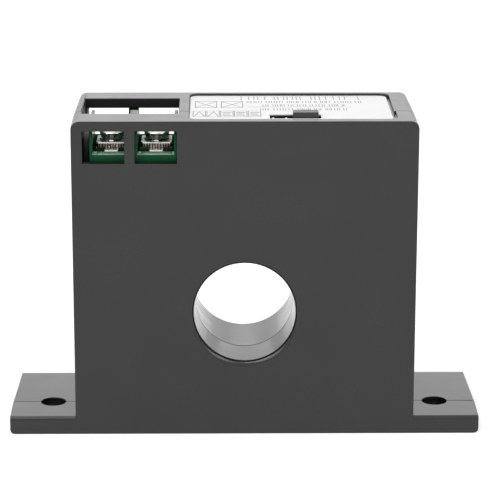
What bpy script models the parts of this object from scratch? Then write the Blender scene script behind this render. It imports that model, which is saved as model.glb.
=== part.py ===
# Current transmitter with a pass-through bore, two screw terminals and a range jumper.
# Frame: X across the width, Y through the depth (front at -Y), Z up, origin under the middle of the base.
import math

import bmesh
import bpy
from mathutils import Matrix, Vector

MM = 0.001

# Housing: two moulded halves that meet at a parting line behind the front face
HOUSING_DEPTH = 28.0 * MM
FRONT_HALF_DEPTH = 9.5 * MM        # from the front face back to the parting line
WALL = 2.0 * MM
TOP_CORNER_RADIUS = 1.6 * MM
FRONT_DRAFT = math.radians(0.5)
REAR_DRAFT = math.radians(1.0)
SEAM_GAP = 0.1 * MM
TONGUE_THICKNESS = 0.85 * MM
TONGUE_LENGTH = 1.2 * MM
TONGUE_TOP_DROP = 10.0 * MM        # the tongue stops this far under the housing's top
EDGE_ROUND = 0.4 * MM

# Feet: one ear on each side, with a hole that the parting line runs through
FOOT_LENGTH = 13.15 * MM
FOOT_THICKNESS = 3.6 * MM
FOOT_CORNER_RADIUS = 0.9 * MM
FOOT_EDGE_ROUND = 0.8 * MM         # along the feet's front top edges
FOOT_HOLE_DIAMETER = 5.0 * MM
FOOT_HOLE_OFFSET = 4.95 * MM       # from the body's side to the hole's centre

# Bore for the measured conductor, narrowest at the parting line
BORE_DIAMETER = 19.6 * MM
BORE_FRONT_DRAFT = math.radians(1.5)
BORE_REAR_DRAFT = math.radians(2.2)
BORE_FRONT_LIP = 1.2 * MM          # radius of the rounded mouth
BORE_REAR_LIP = 1.8 * MM
TUBE_WALL = 2.2 * MM

# Coil on the tube: a toroid core with its winding
CORE_THICKNESS = 6.2 * MM          # radial
CORE_WIDTH = 14.0 * MM             # along the bore
WINDING_BUILD = 0.7 * MM           # depth of the wound copper
TURN_RELIEF = 0.15 * MM            # ripple from turn to turn
WINDING_GAP_ANGLE = math.radians(10)
WINDING_STEPS = 56
LEAD_START_ANGLE = math.radians(2)  # from the winding's end to its lead
LEAD_SETBACK = 1.0 * MM            # of the leads from the winding's rear edge
COIL_FLOOR_GAP = 2.75 * MM
COIL_RIB_THICKNESS = 1.2 * MM
COIL_RIB_REACH = 2.0 * MM          # how far the ribs run past the coil
COIL_RIB_ANGLES = (35, 145, 215, 325)

# Circuit board
BOARD_THICKNESS = 1.6 * MM
COIL_BOARD_GAP = 3.25 * MM
BOARD_SIDE_GAP = 0.4 * MM
LEDGE_REACH = 2.2 * MM
LEDGE_THICKNESS = 1.2 * MM

FIT_GAP = 0.3 * MM                 # between pieces that seat in or on one another
SLIP_GAP = 0.05 * MM               # between flat metal faces that rest on one another
LEAD_RADIUS = 0.35 * MM
LEAD_TAIL = 1.2 * MM               # how far a lead comes through the board
WALL_OVERRUN = 1.0 * MM            # how far a cutter runs past the wall that it cuts

# Two-pole barrier terminal
POLE_PITCH = 8.8 * MM
POLE_WIDTH = 7.1 * MM
BARRIER_END = 0.6 * MM             # thickness of the outer barriers
TERMINAL_DEPTH = 12.9 * MM
TERMINAL_HEIGHT = 12.6 * MM
TERMINAL_SIDE_GAP = 1.55 * MM      # between the block and the inside of the housing's wall
LIP_HEIGHT = 6.4 * MM
LIP_DEPTH = 3.0 * MM
LIP_STEP = 0.75 * MM               # the floor behind the lip lies this much lower
BACK_HEIGHT = 7.6 * MM
BACK_THICKNESS = 0.85 * MM
BACK_TAB_WIDTH = 4.7 * MM
BACK_TAB_HEIGHT = 9.9 * MM
BARRIER_ROUND = 0.9 * MM
BARRIER_NOTCH_DEPTH = 5.6 * MM     # the barriers' front part clears the housing's top wall
WELL_RADIUS = 2.0 * MM

# Clamp: strip, square washer, spring washer and screw
STRIP_WIDTH = 6.3 * MM
STRIP_THICKNESS = 0.75 * MM
STRIP_TAB_WIDTH = 2.7 * MM
STRIP_TAB_LENGTH = 2.3 * MM
STRIP_LEG_WIDTH = 1.2 * MM
STRIP_LEG_THICKNESS = 0.8 * MM
SCREW_SETBACK = 8.7 * MM           # from the terminal's front to the screw's axis
SQUARE_WASHER_SIDE = 6.1 * MM
SQUARE_WASHER_THICKNESS = 0.6 * MM
SQUARE_WASHER_RIM = 0.45 * MM      # how far the rim stands above the dish that holds the spring washer
DISH_GAP = 0.2 * MM
SPRING_WASHER_RADIUS = 2.35 * MM
SPRING_WASHER_THICKNESS = 0.5 * MM
SPRING_WASHER_STEPS = 22
SPRING_WASHER_OPENING = math.radians(14)
SPRING_WASHER_RISE = 0.12 * MM
SCREW_RADIUS = 1.45 * MM
SCREW_HOLE_GAP = 0.15 * MM
SCREW_LENGTH = 6.0 * MM
SCREW_TIP_CHAMFER = 0.4 * MM
HEAD_RADIUS = 2.5 * MM
HEAD_HEIGHT = 1.75 * MM
HEAD_CROWN = 0.6 * MM              # height of the domed part of the head
RECESS_REACH = 1.5 * MM
RECESS_WIDTH = 0.55 * MM
RECESS_DEPTH = 1.0 * MM

# Openings of the terminal compartment
WINDOW_WIDTH = 8.15 * MM
WINDOW_PILLAR = 2.05 * MM
WINDOW_OFFSET = 0.65 * MM          # the windows' middle lies this far to the left of the block's
FRONT_SILL_DROP = 1.45 * MM        # sill below the terminal's front lip
REAR_SILL_DROP = 1.95 * MM
REAR_WINDOW_HEIGHT = 6.15 * MM
TOP_HEADROOM = 0.8 * MM            # from the barriers' top to the housing's top
OPENING_LEFT_RIM = 1.85 * MM
OPENING_SCREW_LEAD = 3.7 * MM      # from the opening's front edge to the screws' axes
OPENING_LENGTH = 14.4 * MM
OPENING_RIGHT_GAP = 0.25 * MM
PARTITION_THICKNESS = 1.0 * MM
PARTITION_SETBACK = 0.75 * MM      # from the opening's right edge to the partition

# Label and its recess in the top
RECESS_LEFT_RIM = 2.05 * MM        # between the opening and the recess
RECESS_WIDTH_X = 40.4 * MM
RECESS_RIGHT_RIM = 4.35 * MM
RECESS_FRONT_RIM = 2.5 * MM
RECESS_REAR_RIM = 1.65 * MM
LABEL_RECESS_DEPTH = 0.65 * MM
RECESS_CORNER = 1.8 * MM
RECESS_FRONT_STEP = 0.3 * MM       # the front half's recess is this much wider on the right
LABEL_THICKNESS = 0.2 * MM
LABEL_EDGE_GAP = 0.12 * MM
LABEL_RIGHT_GAP = 0.55 * MM

# Range header and jumper
PIN_COUNT = 4
PIN_PITCH = 2.54 * MM
PIN_SIDE = 0.64 * MM
PIN_TOP_DROP = 0.7 * MM            # pin tips below the housing's top
HEADER_OFFSET = 16.5 * MM          # from the recess's left edge to the first pin
HEADER_SETBACK = 6.5 * MM          # from the front face to the pins
HEADER_BASE_HEIGHT = 2.5 * MM
HEADER_BASE_DEPTH = 2.5 * MM
HEADER_UPPER_LIFT = 5.3 * MM       # from the board to the upper base
HEADER_NOTCH = 0.4 * MM
SLOT_LEFT_MARGIN = 0.7 * MM        # from the first pin's axis to the slot's end
SLOT_RIGHT_MARGIN = 1.75 * MM      # from the last pin's axis to the other end
SLOT_DEPTH = 3.7 * MM
JUMPER_WIDTH = 5.0 * MM
JUMPER_DEPTH = 2.5 * MM
JUMPER_ROOF = 0.8 * MM
JUMPER_WALL = 0.45 * MM
JUMPER_ROUND = 0.3 * MM
CLIP_THICKNESS = 0.2 * MM
PIN_POINT = 0.55                   # share of a pin's side that is left at its tip

# Electronics on the board
RESISTOR_RADIUS = 1.15 * MM
RESISTOR_LENGTH = 6.3 * MM
RESISTOR_WAIST = 0.2 * MM          # how far the barrel's middle draws in between its end caps
RESISTOR_LEAD_SPAN = 10.0 * MM
RESISTOR_SPACING = 4.2 * MM
RESISTOR_SETBACK = 4.6 * MM        # from the pins' row to the first resistor
CAPACITOR_RADIUS = 3.15 * MM
CAPACITOR_HEIGHT = 9.6 * MM
CAPACITOR_LEAD_SPAN = 2.5 * MM
RECTIFIER_SIZE = (6.4 * MM, 8.2 * MM, 3.2 * MM)
RECTIFIER_LEAD_SPAN = 5.1 * MM
TRIMMER_SIZE = (4.8 * MM, 9.5 * MM, 9.4 * MM)
TRIMMER_WALL_GAP = 0.7 * MM        # to the front wall
TRIMMER_SCREW_RADIUS = 1.1 * MM
TRIMMER_LEAD_SPAN = 2.5 * MM
FILM_SIZE = (7.2 * MM, 2.5 * MM, 6.4 * MM)
FILM_LEAD_SPAN = 5.0 * MM
PART_STANDOFF = 0.3 * MM           # component bodies stand clear of the board by this

# Roundness
BORE_SEGMENTS = 64
COIL_SEGMENTS = 48
SCREW_SEGMENTS = 28
SMALL_SEGMENTS = 12
HOLE_SEGMENTS = 24
CORNER_STEPS = 5
SMOOTH_ANGLE = math.radians(32)

# Places worked out from the sizes above
front_y = -HOUSING_DEPTH / 2
rear_y = HOUSING_DEPTH / 2
seam_y = front_y + FRONT_HALF_DEPTH
terminal_width = POLE_PITCH + POLE_WIDTH + 2 * BARRIER_END
opening_width = WALL + TERMINAL_SIDE_GAP - OPENING_LEFT_RIM + terminal_width + OPENING_RIGHT_GAP
body_width = OPENING_LEFT_RIM + opening_width + RECESS_LEFT_RIM + RECESS_WIDTH_X + RECESS_RIGHT_RIM
body_side = body_width / 2         # at the parting line
foot_end = body_side + FOOT_LENGTH
foot_hole_x = body_side + FOOT_HOLE_OFFSET
inner_side = body_side - WALL

tube_radius = BORE_DIAMETER / 2 + TUBE_WALL
winding_inner = tube_radius + FIT_GAP
core_inner = winding_inner + WINDING_BUILD + FIT_GAP
core_outer = core_inner + CORE_THICKNESS
winding_outer = core_outer + FIT_GAP + WINDING_BUILD
winding_half = CORE_WIDTH / 2 + FIT_GAP + WINDING_BUILD
bore_z = WALL + COIL_FLOOR_GAP + winding_outer

board_bottom = bore_z + winding_outer + COIL_BOARD_GAP
board_top = board_bottom + BOARD_THICKNESS
housing_top = board_top + TERMINAL_HEIGHT + TOP_HEADROOM
ceiling_z = housing_top - WALL

terminal_left = -inner_side + TERMINAL_SIDE_GAP
terminal_x = terminal_left + terminal_width / 2
terminal_right = terminal_left + terminal_width
terminal_front = front_y + WALL + FIT_GAP
terminal_back = terminal_front + TERMINAL_DEPTH
pole_x = (terminal_x - POLE_PITCH / 2, terminal_x + POLE_PITCH / 2)
screw_y = terminal_front + SCREW_SETBACK
lip_z = board_top + LIP_HEIGHT
floor_z = lip_z - LIP_STEP
strip_bottom = floor_z + SLIP_GAP
strip_top = strip_bottom + STRIP_THICKNESS
washer_bottom = strip_top + SLIP_GAP
washer_top = washer_bottom + SQUARE_WASHER_THICKNESS
spring_bottom = washer_top + SLIP_GAP
head_bottom = spring_bottom + SPRING_WASHER_THICKNESS + SPRING_WASHER_RISE + SLIP_GAP

window_x = terminal_x - WINDOW_OFFSET
opening_left = -body_side + OPENING_LEFT_RIM
opening_right = terminal_right + OPENING_RIGHT_GAP
opening_front = screw_y - OPENING_SCREW_LEAD
opening_back = opening_front + OPENING_LENGTH
partition_left = opening_right + PARTITION_SETBACK
partition_right = partition_left + PARTITION_THICKNESS

recess_left = opening_right + RECESS_LEFT_RIM
recess_right = recess_left + RECESS_WIDTH_X
recess_front = front_y + RECESS_FRONT_RIM
recess_back = rear_y - RECESS_REAR_RIM
recess_floor = housing_top - LABEL_RECESS_DEPTH

first_pin_x = recess_left + HEADER_OFFSET
pin_y = front_y + HEADER_SETBACK
pin_xs = [first_pin_x + PIN_PITCH * i for i in range(PIN_COUNT)]
slot_left = pin_xs[0] - SLOT_LEFT_MARGIN
slot_right = pin_xs[-1] + SLOT_RIGHT_MARGIN
upper_base_bottom = board_top + HEADER_UPPER_LIFT
upper_base_top = upper_base_bottom + HEADER_BASE_HEIGHT
pin_top = housing_top - PIN_TOP_DROP
jumper_x = (pin_xs[-2] + pin_xs[-1]) / 2
jumper_bottom = upper_base_top + FIT_GAP
clip_top = pin_top + FIT_GAP + CLIP_THICKNESS
jumper_top = clip_top + SLIP_GAP + JUMPER_ROOF

board_holes = []                   # (x, y, radius) of each hole that a lead asks for


def clear_scene():
    for obj in list(bpy.data.objects):
        bpy.data.objects.remove(obj, do_unlink=True)


def material(name, colour, roughness, metallic=0.0):
    made = bpy.data.materials.get(name) or bpy.data.materials.new(name)
    made.use_nodes = True
    shader = made.node_tree.nodes["Principled BSDF"]
    shader.inputs["Base Color"].default_value = (*colour, 1.0)
    shader.inputs["Roughness"].default_value = roughness
    shader.inputs["Metallic"].default_value = metallic
    return made


def housing_plastic():
    return material("black_abs", (0.055, 0.055, 0.057), 0.55)


def terminal_plastic():
    return material("green_polyamide", (0.010, 0.155, 0.065), 0.45)


def header_plastic():
    return material("black_nylon", (0.02, 0.02, 0.02), 0.5)


def bright_metal():
    return material("tinned_metal", (0.78, 0.76, 0.72), 0.28, 1.0)


def brass():
    return material("gold_flashed_brass", (0.83, 0.68, 0.38), 0.3, 1.0)


def copper():
    return material("enamelled_copper", (0.55, 0.20, 0.08), 0.35, 1.0)


def add_object(name, bm, finish, location=(0, 0, 0)):
    bmesh.ops.recalc_face_normals(bm, faces=bm.faces)
    mesh = bpy.data.meshes.new(name)
    bm.to_mesh(mesh)
    bm.free()
    obj = bpy.data.objects.new(name, mesh)
    obj.location = location
    bpy.context.scene.collection.objects.link(obj)
    if finish:
        mesh.materials.append(finish)
    return obj


def add_cutter(name, bm):
    obj = add_object(name, bm, None)
    obj.hide_render = True
    obj.display_type = "WIRE"
    return obj


def combine(target, tool, operation="DIFFERENCE"):
    step = target.modifiers.new(tool.name, "BOOLEAN")
    step.object = tool
    step.operation = operation
    step.solver = "EXACT"


def apply_cuts(obj):
    # Freeze the Booleans, drop their tools and shade what is round as round
    tools = [step.object for step in obj.modifiers if step.type == "BOOLEAN"]
    graph = bpy.context.evaluated_depsgraph_get()
    cut = bpy.data.meshes.new_from_object(obj.evaluated_get(graph))
    obj.modifiers.clear()
    old = obj.data
    obj.data = cut
    cut.name = obj.name
    bpy.data.meshes.remove(old)
    for tool in tools:
        if tool.users_collection:
            bpy.data.objects.remove(tool, do_unlink=True)


def add_box(bm, low, high):
    size = [b - a for a, b in zip(low, high)]
    middle = [(a + b) / 2 for a, b in zip(low, high)]
    place = Matrix.Translation(middle) @ Matrix.Diagonal((*size, 1.0))
    return bmesh.ops.create_cube(bm, size=1.0, matrix=place)["verts"]


def box_mesh(*corners):
    bm = bmesh.new()
    for low, high in corners:
        add_box(bm, low, high)
    return bm


def add_cylinder(bm, centre, radius, low, high, axis="Z", segments=SMALL_SEGMENTS):
    # low and high are the ends along the axis; centre gives the other two coordinates
    turn = {"Z": Matrix.Identity(4), "Y": Matrix.Rotation(math.radians(90), 4, "X"),
            "X": Matrix.Rotation(math.radians(90), 4, "Y")}[axis]
    middle = Vector(centre)
    middle["XYZ".index(axis)] = (low + high) / 2
    bmesh.ops.create_cone(bm, cap_ends=True, segments=segments, radius1=radius, radius2=radius,
                          depth=high - low, matrix=Matrix.Translation(middle) @ turn)


def arc(x, z, radius, start, end, steps=CORNER_STEPS):
    angles = [math.radians(start + (end - start) * i / steps) for i in range(steps + 1)]
    return [(x + radius * math.cos(a), z + radius * math.sin(a)) for a in angles]


def extrude_outline(bm, points, place, travel):
    # place turns an outline point into a vertex at the start; travel moves it to the end
    start = [bm.verts.new(place(*point)) for point in points]
    end = [bm.verts.new(travel(vert.co)) for vert in start]
    bm.faces.new(start)
    bm.faces.new(list(reversed(end)))
    count = len(points)
    for i in range(count):
        j = (i + 1) % count
        bm.faces.new((start[j], start[i], end[i], end[j]))


def plate_mesh(points, low, high):
    # An outline in X and Y, extruded upwards
    bm = bmesh.new()
    extrude_outline(bm, points, lambda x, y: (x, y, low), lambda co: (co.x, co.y, high))
    return bm


def side_profile(bm, points, left, right):
    # An outline in Y and Z, extruded across X
    extrude_outline(bm, points, lambda y, z: (left, y, z), lambda co: (right, co.y, co.z))


def rounded_rectangle(left, right, front, back, radius):
    return (arc(right - radius, front + radius, radius, -90, 0)
            + arc(right - radius, back - radius, radius, 0, 90)
            + arc(left + radius, back - radius, radius, 90, 180)
            + arc(left + radius, front + radius, radius, 180, 270))


def revolve(bm, profile, centre, axis, steps):
    # profile holds (radius, place along the axis) from one pole or hole edge to the other
    direction = {"Y": Vector((0, 1, 0)), "Z": Vector((0, 0, 1))}[axis]
    side = Vector((1, 0, 0))
    verts = [bm.verts.new(Vector(centre) + side * r + direction * h) for r, h in profile]
    edges = [bm.edges.new(pair) for pair in zip(verts, verts[1:])]
    bmesh.ops.spin(bm, geom=verts + edges, cent=centre, axis=direction,
                   angle=math.tau, steps=steps, use_merge=True)
    bmesh.ops.remove_doubles(bm, verts=bm.verts, dist=MM / 1000)


def sweep(bm, path, radius, segments=8):
    # A round lead along a list of points
    rings = []
    for i, point in enumerate(path):
        ahead = Vector(path[min(i + 1, len(path) - 1)]) - Vector(path[max(i - 1, 0)])
        turn = ahead.to_track_quat("Z", "Y").to_matrix()
        ring = []
        for k in range(segments):
            a = math.tau * k / segments
            ring.append(bm.verts.new(Vector(point) + turn @ Vector((radius * math.cos(a), radius * math.sin(a), 0))))
        rings.append(ring)
    for one, two in zip(rings, rings[1:]):
        for k in range(segments):
            n = (k + 1) % segments
            bm.faces.new((one[k], one[n], two[n], two[k]))
    bm.faces.new(list(reversed(rings[0])))
    bm.faces.new(rings[-1])


def draft_inset(y):
    # How far the moulding's sides have come in at depth y
    if y < seam_y:
        return (seam_y - y) * math.tan(FRONT_DRAFT)
    return (y - seam_y) * math.tan(REAR_DRAFT)


def housing_outline(inset):
    # Front view of the body with its two feet, drafted inwards by the inset
    side, end, top = body_side - inset, foot_end - inset, housing_top
    half = (arc(end - FOOT_CORNER_RADIUS, FOOT_CORNER_RADIUS, FOOT_CORNER_RADIUS, -90, 0, 3)
            + [(end, FOOT_THICKNESS), (side, FOOT_THICKNESS)]
            + arc(side - TOP_CORNER_RADIUS, top - TOP_CORNER_RADIUS, TOP_CORNER_RADIUS, 0, 90))
    return half + [(-x, z) for x, z in reversed(half)]


def housing_half(y_face, y_seam):
    bm = bmesh.new()
    at_face = housing_outline(draft_inset(y_face))
    at_seam = housing_outline(draft_inset(y_seam))
    face = [bm.verts.new((x, y_face, z)) for x, z in at_face]
    seam = [bm.verts.new((x, y_seam, z)) for x, z in at_seam]
    bm.faces.new(face)
    bm.faces.new(seam)
    count = len(face)
    for i in range(count):
        j = (i + 1) % count
        bm.faces.new((face[i], face[j], seam[j], seam[i]))
    bmesh.ops.recalc_face_normals(bm, faces=bm.faces)
    return bm


def round_edges(bm, wanted, width, segments=2):
    edges = [edge for edge in bm.edges if wanted(*edge.verts)]
    bmesh.ops.bevel(bm, geom=edges, offset=width, segments=segments, profile=0.5, affect="EDGES")


def rear_outer():
    bm = housing_half(rear_y, seam_y + SEAM_GAP / 2)
    hair = MM / 100
    round_edges(bm, lambda a, b: min(a.co.y, b.co.y) > rear_y - hair and max(a.co.z, b.co.z) > hair,
                EDGE_ROUND)
    return bm


def foot_edges(name):
    # Takes the corner off the feet's front top edges, up to the body's drafted sides
    y_in, z_in = front_y + FOOT_EDGE_ROUND, FOOT_THICKNESS - FOOT_EDGE_ROUND
    above = FOOT_THICKNESS + WALL_OVERRUN
    points = ([(y_in, above), (front_y - WALL_OVERRUN, above), (front_y - WALL_OVERRUN, z_in)]
              + arc(y_in, z_in, FOOT_EDGE_ROUND, 180, 90))
    bm = bmesh.new()
    for sign in (-1, 1):
        extrude_outline(bm, points, lambda y, z: (sign * (body_side - draft_inset(y)), y, z),
                        lambda co: (sign * (foot_end + WALL_OVERRUN), co.y, co.z))
    bmesh.ops.recalc_face_normals(bm, faces=bm.faces)
    return add_cutter(name, bm)


def tapered_box(y_low, y_high, inset, bottom, top):
    # A hollow's shape: it follows the drafted sides at a constant wall
    bm = bmesh.new()
    rings = []
    for y in (y_low, y_high):
        side = body_side - draft_inset(y) - inset
        corners = ((-side, bottom), (side, bottom), (side, top), (-side, top))
        rings.append([bm.verts.new((x, y, z)) for x, z in corners])
    bm.faces.new(rings[0])
    bm.faces.new(rings[1])
    for i in range(4):
        j = (i + 1) % 4
        bm.faces.new((rings[0][i], rings[0][j], rings[1][j], rings[1][i]))
    return bm


def u_ring(inset_out, inset_in, y_low, y_high):
    # A channel-shaped ring along the body's sides and floor
    top = housing_top - TONGUE_TOP_DROP
    side_out, side_in = body_side - inset_out, body_side - inset_in
    points = [(-side_out, inset_out), (side_out, inset_out), (side_out, top), (side_in, top),
              (side_in, inset_in), (-side_in, inset_in), (-side_in, top), (-side_out, top)]
    bm = bmesh.new()
    extrude_outline(bm, points, lambda x, z: (x, y_low, z), lambda co: (co.x, y_high, co.z))
    return bm


def bore_profile():
    # Half section of the bore from the front mouth to the rear mouth
    waist = BORE_DIAMETER / 2
    front_radius = waist + FRONT_HALF_DEPTH * math.tan(BORE_FRONT_DRAFT)
    rear_radius = waist + (rear_y - seam_y) * math.tan(BORE_REAR_DRAFT)
    front_lip = [(r, h) for h, r in arc(front_y + BORE_FRONT_LIP, front_radius + BORE_FRONT_LIP,
                                        BORE_FRONT_LIP, 180, 270, 4)]
    rear_lip = [(r, h) for h, r in arc(rear_y - BORE_REAR_LIP, rear_radius + BORE_REAR_LIP,
                                       BORE_REAR_LIP, 270, 360, 4)]
    mouth_front = [(0, front_y - WALL_OVERRUN), (front_lip[0][0], front_y - WALL_OVERRUN)]
    mouth_rear = [(rear_lip[-1][0], rear_y + WALL_OVERRUN), (0, rear_y + WALL_OVERRUN)]
    return mouth_front + front_lip + [(waist, seam_y)] + rear_lip + mouth_rear


def bore_cutter(name):
    bm = bmesh.new()
    revolve(bm, bore_profile(), (0, 0, bore_z), "Y", BORE_SEGMENTS)
    return add_cutter(name, bm)


def coil_ribs(y_wall, y_coil):
    # Radial ribs that hold the coil off the face wall
    bm = bmesh.new()
    low, high = min(y_wall, y_coil), max(y_wall, y_coil)
    for angle in COIL_RIB_ANGLES:
        verts = add_box(bm, (0, low, -COIL_RIB_THICKNESS / 2),
                        (winding_outer + COIL_RIB_REACH, high, COIL_RIB_THICKNESS / 2))
        turn = Matrix.Translation((0, 0, bore_z)) @ Matrix.Rotation(math.radians(-angle), 4, "Y")
        bmesh.ops.transform(bm, matrix=turn, verts=verts)
    return bm


def cavity(name, y_wall, y_seam, y_open):
    # The hollow of one half, less the tube, ribs, ledges and partition that stand in it
    inside = add_cutter(name, tapered_box(y_wall, y_open, WALL, WALL, ceiling_z))
    outward = math.copysign(WALL_OVERRUN, y_wall)
    tube = bmesh.new()
    ends = sorted((y_wall + outward, y_seam))
    add_cylinder(tube, (0, 0, bore_z), tube_radius, ends[0], ends[1], "Y", BORE_SEGMENTS)
    combine(inside, add_cutter(name + "_tube", tube))

    coil_face = math.copysign(winding_half + FIT_GAP, y_wall)
    combine(inside, add_cutter(name + "_ribs", coil_ribs(y_wall + outward, coil_face)))

    far = body_side + WALL_OVERRUN
    ledge_in = inner_side - LEDGE_REACH
    start = y_seam + math.copysign(TONGUE_LENGTH + FIT_GAP, y_wall)
    low, high = sorted((y_wall + outward, start))
    under = (board_bottom - FIT_GAP - LEDGE_THICKNESS, board_bottom - FIT_GAP)
    ledges = box_mesh(((ledge_in, low, under[0]), (far, high, under[1])),
                      ((-far, low, under[0]), (-ledge_in, high, under[1])))
    combine(inside, add_cutter(name + "_ledges", ledges))

    low, high = sorted((y_wall + outward, y_seam))
    partition = box_mesh(((partition_left, low, board_top + FIT_GAP),
                          (partition_right, high, housing_top)))
    combine(inside, add_cutter(name + "_partition", partition))
    return inside


def window_boxes(y_low, y_high, z_low, z_high):
    reach = WINDOW_PILLAR / 2
    return box_mesh(((window_x - reach - WINDOW_WIDTH, y_low, z_low), (window_x - reach, y_high, z_high)),
                    ((window_x + reach, y_low, z_low), (window_x + reach + WINDOW_WIDTH, y_high, z_high)))


def top_opening(name):
    return add_cutter(name, box_mesh(((opening_left, opening_front, ceiling_z - WALL_OVERRUN),
                                      (opening_right, opening_back, housing_top + WALL_OVERRUN))))


def label_recess(name, extra_right):
    outline = rounded_rectangle(recess_left, recess_right + extra_right,
                                recess_front, recess_back, RECESS_CORNER)
    return add_cutter(name, plate_mesh(outline, recess_floor, housing_top + WALL_OVERRUN))


def foot_holes(name):
    bm = bmesh.new()
    for x in (-foot_hole_x, foot_hole_x):
        add_cylinder(bm, (x, seam_y, 0), FOOT_HOLE_DIAMETER / 2, -WALL_OVERRUN,
                     FOOT_THICKNESS + WALL_OVERRUN, "Z", HOLE_SEGMENTS)
    return add_cutter(name, bm)


def jumper_slot(name, top):
    return add_cutter(name, box_mesh(((slot_left, pin_y - SLOT_DEPTH / 2, ceiling_z - WALL_OVERRUN),
                                      (slot_right, pin_y + SLOT_DEPTH / 2, top))))


def front_shell():
    shell = add_object("front_shell", housing_half(front_y, seam_y - SEAM_GAP / 2), housing_plastic())
    combine(shell, foot_edges("foot_rounding"))
    y_seam = seam_y - SEAM_GAP / 2
    combine(shell, cavity("front_cavity", front_y + WALL, y_seam, seam_y + WALL_OVERRUN))
    rebate = u_ring(WALL - TONGUE_THICKNESS - FIT_GAP, WALL + FIT_GAP,
                    y_seam - TONGUE_LENGTH - FIT_GAP, seam_y + WALL_OVERRUN)
    combine(shell, add_cutter("rebate", rebate))
    combine(shell, bore_cutter("front_bore"))
    windows = window_boxes(front_y - WALL_OVERRUN, front_y + WALL + WALL_OVERRUN / 2,
                           lip_z - FRONT_SILL_DROP, ceiling_z)
    combine(shell, add_cutter("front_windows", windows))
    combine(shell, top_opening("front_opening"))
    combine(shell, label_recess("front_recess", RECESS_FRONT_STEP))
    combine(shell, jumper_slot("shell_slot", housing_top + WALL_OVERRUN))
    combine(shell, foot_holes("front_holes"))
    return shell


def rear_shell():
    shell = add_object("rear_shell", rear_outer(), housing_plastic())
    y_seam = seam_y + SEAM_GAP / 2
    y_tip = y_seam - TONGUE_LENGTH
    tongue = u_ring(WALL - TONGUE_THICKNESS, WALL + FIT_GAP, y_tip, y_seam + WALL_OVERRUN)
    combine(shell, add_cutter("tongue", tongue), "UNION")
    combine(shell, cavity("rear_cavity", rear_y - WALL, y_seam, y_tip - WALL_OVERRUN))
    combine(shell, bore_cutter("rear_bore"))
    sill = lip_z - REAR_SILL_DROP
    windows = window_boxes(rear_y - WALL - WALL_OVERRUN / 2, rear_y + WALL_OVERRUN,
                           sill, sill + REAR_WINDOW_HEIGHT)
    combine(shell, add_cutter("rear_windows", windows))
    combine(shell, top_opening("rear_opening"))
    combine(shell, label_recess("rear_recess", 0.0))
    combine(shell, foot_holes("rear_holes"))
    return shell


def label_plate():
    low = recess_floor + SLIP_GAP / 2
    outline = rounded_rectangle(recess_left + LABEL_EDGE_GAP, recess_right - LABEL_RIGHT_GAP,
                                recess_front + LABEL_EDGE_GAP, recess_back - LABEL_EDGE_GAP,
                                RECESS_CORNER - LABEL_EDGE_GAP)
    plate = add_object("label_plate", plate_mesh(outline, low, low + LABEL_THICKNESS),
                       material("label_film", (0.86, 0.86, 0.86), 0.5))
    combine(plate, jumper_slot("label_slot", housing_top + WALL_OVERRUN))
    return plate


def barrier_profile():
    # Side view of a barrier; its front part is lower, to pass under the housing's top wall
    top = board_top + TERMINAL_HEIGHT
    notch_y = terminal_front + BARRIER_NOTCH_DEPTH
    notch_z = ceiling_z - FIT_GAP
    return ([(terminal_front, board_top), (terminal_back, board_top)]
            + arc(terminal_back - BARRIER_ROUND, top - BARRIER_ROUND, BARRIER_ROUND, 0, 90)
            + [(notch_y + BARRIER_ROUND, top), (notch_y, notch_z + (top - notch_z) / 2), (notch_y, notch_z)]
            + arc(terminal_front + BARRIER_ROUND, notch_z - BARRIER_ROUND, BARRIER_ROUND, 90, 180))


def pole_pocket(name, x):
    # The space over one pole: front lip, sunk floor, and a back wall with a raised tab
    top = board_top + TERMINAL_HEIGHT + WALL_OVERRUN
    back = terminal_back - BACK_THICKNESS
    lip_back = terminal_front + LIP_DEPTH
    points = [(terminal_front - WALL_OVERRUN, lip_z), (lip_back, lip_z), (lip_back, floor_z),
              (back, floor_z), (back, board_top + BACK_HEIGHT),
              (terminal_back + WALL_OVERRUN, board_top + BACK_HEIGHT),
              (terminal_back + WALL_OVERRUN, top), (terminal_front - WALL_OVERRUN, top)]
    bm = bmesh.new()
    side_profile(bm, points, x - POLE_WIDTH / 2, x + POLE_WIDTH / 2)
    pocket = add_cutter(name, bm)
    tab = box_mesh(((x - BACK_TAB_WIDTH / 2, back, floor_z),
                    (x + BACK_TAB_WIDTH / 2, terminal_back + 2 * WALL_OVERRUN, board_top + BACK_TAB_HEIGHT)))
    combine(pocket, add_cutter(name + "_tab", tab))
    return pocket


def terminal_body():
    bm = bmesh.new()
    side_profile(bm, barrier_profile(), terminal_left, terminal_right)
    body = add_object("terminal_body", bm, terminal_plastic())
    wells = bmesh.new()
    legs = bmesh.new()
    half = STRIP_LEG_WIDTH / 2 + FIT_GAP
    leg_y = strip_back() - STRIP_LEG_THICKNESS / 2
    reach = STRIP_LEG_THICKNESS / 2 + FIT_GAP
    for i, x in enumerate(pole_x):
        combine(body, pole_pocket("pocket_" + str(i), x))
        add_cylinder(wells, (x, screw_y, 0), WELL_RADIUS, head_bottom - SCREW_LENGTH - 2 * FIT_GAP,
                     lip_z, "Z", HOLE_SEGMENTS)
        add_box(legs, (x - half, leg_y - reach, board_top - WALL_OVERRUN), (x + half, leg_y + reach, lip_z))
    combine(body, add_cutter("screw_wells", wells))
    combine(body, add_cutter("leg_slots", legs))
    return body


def strip_back():
    return screw_y + SQUARE_WASHER_SIDE / 2


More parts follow.
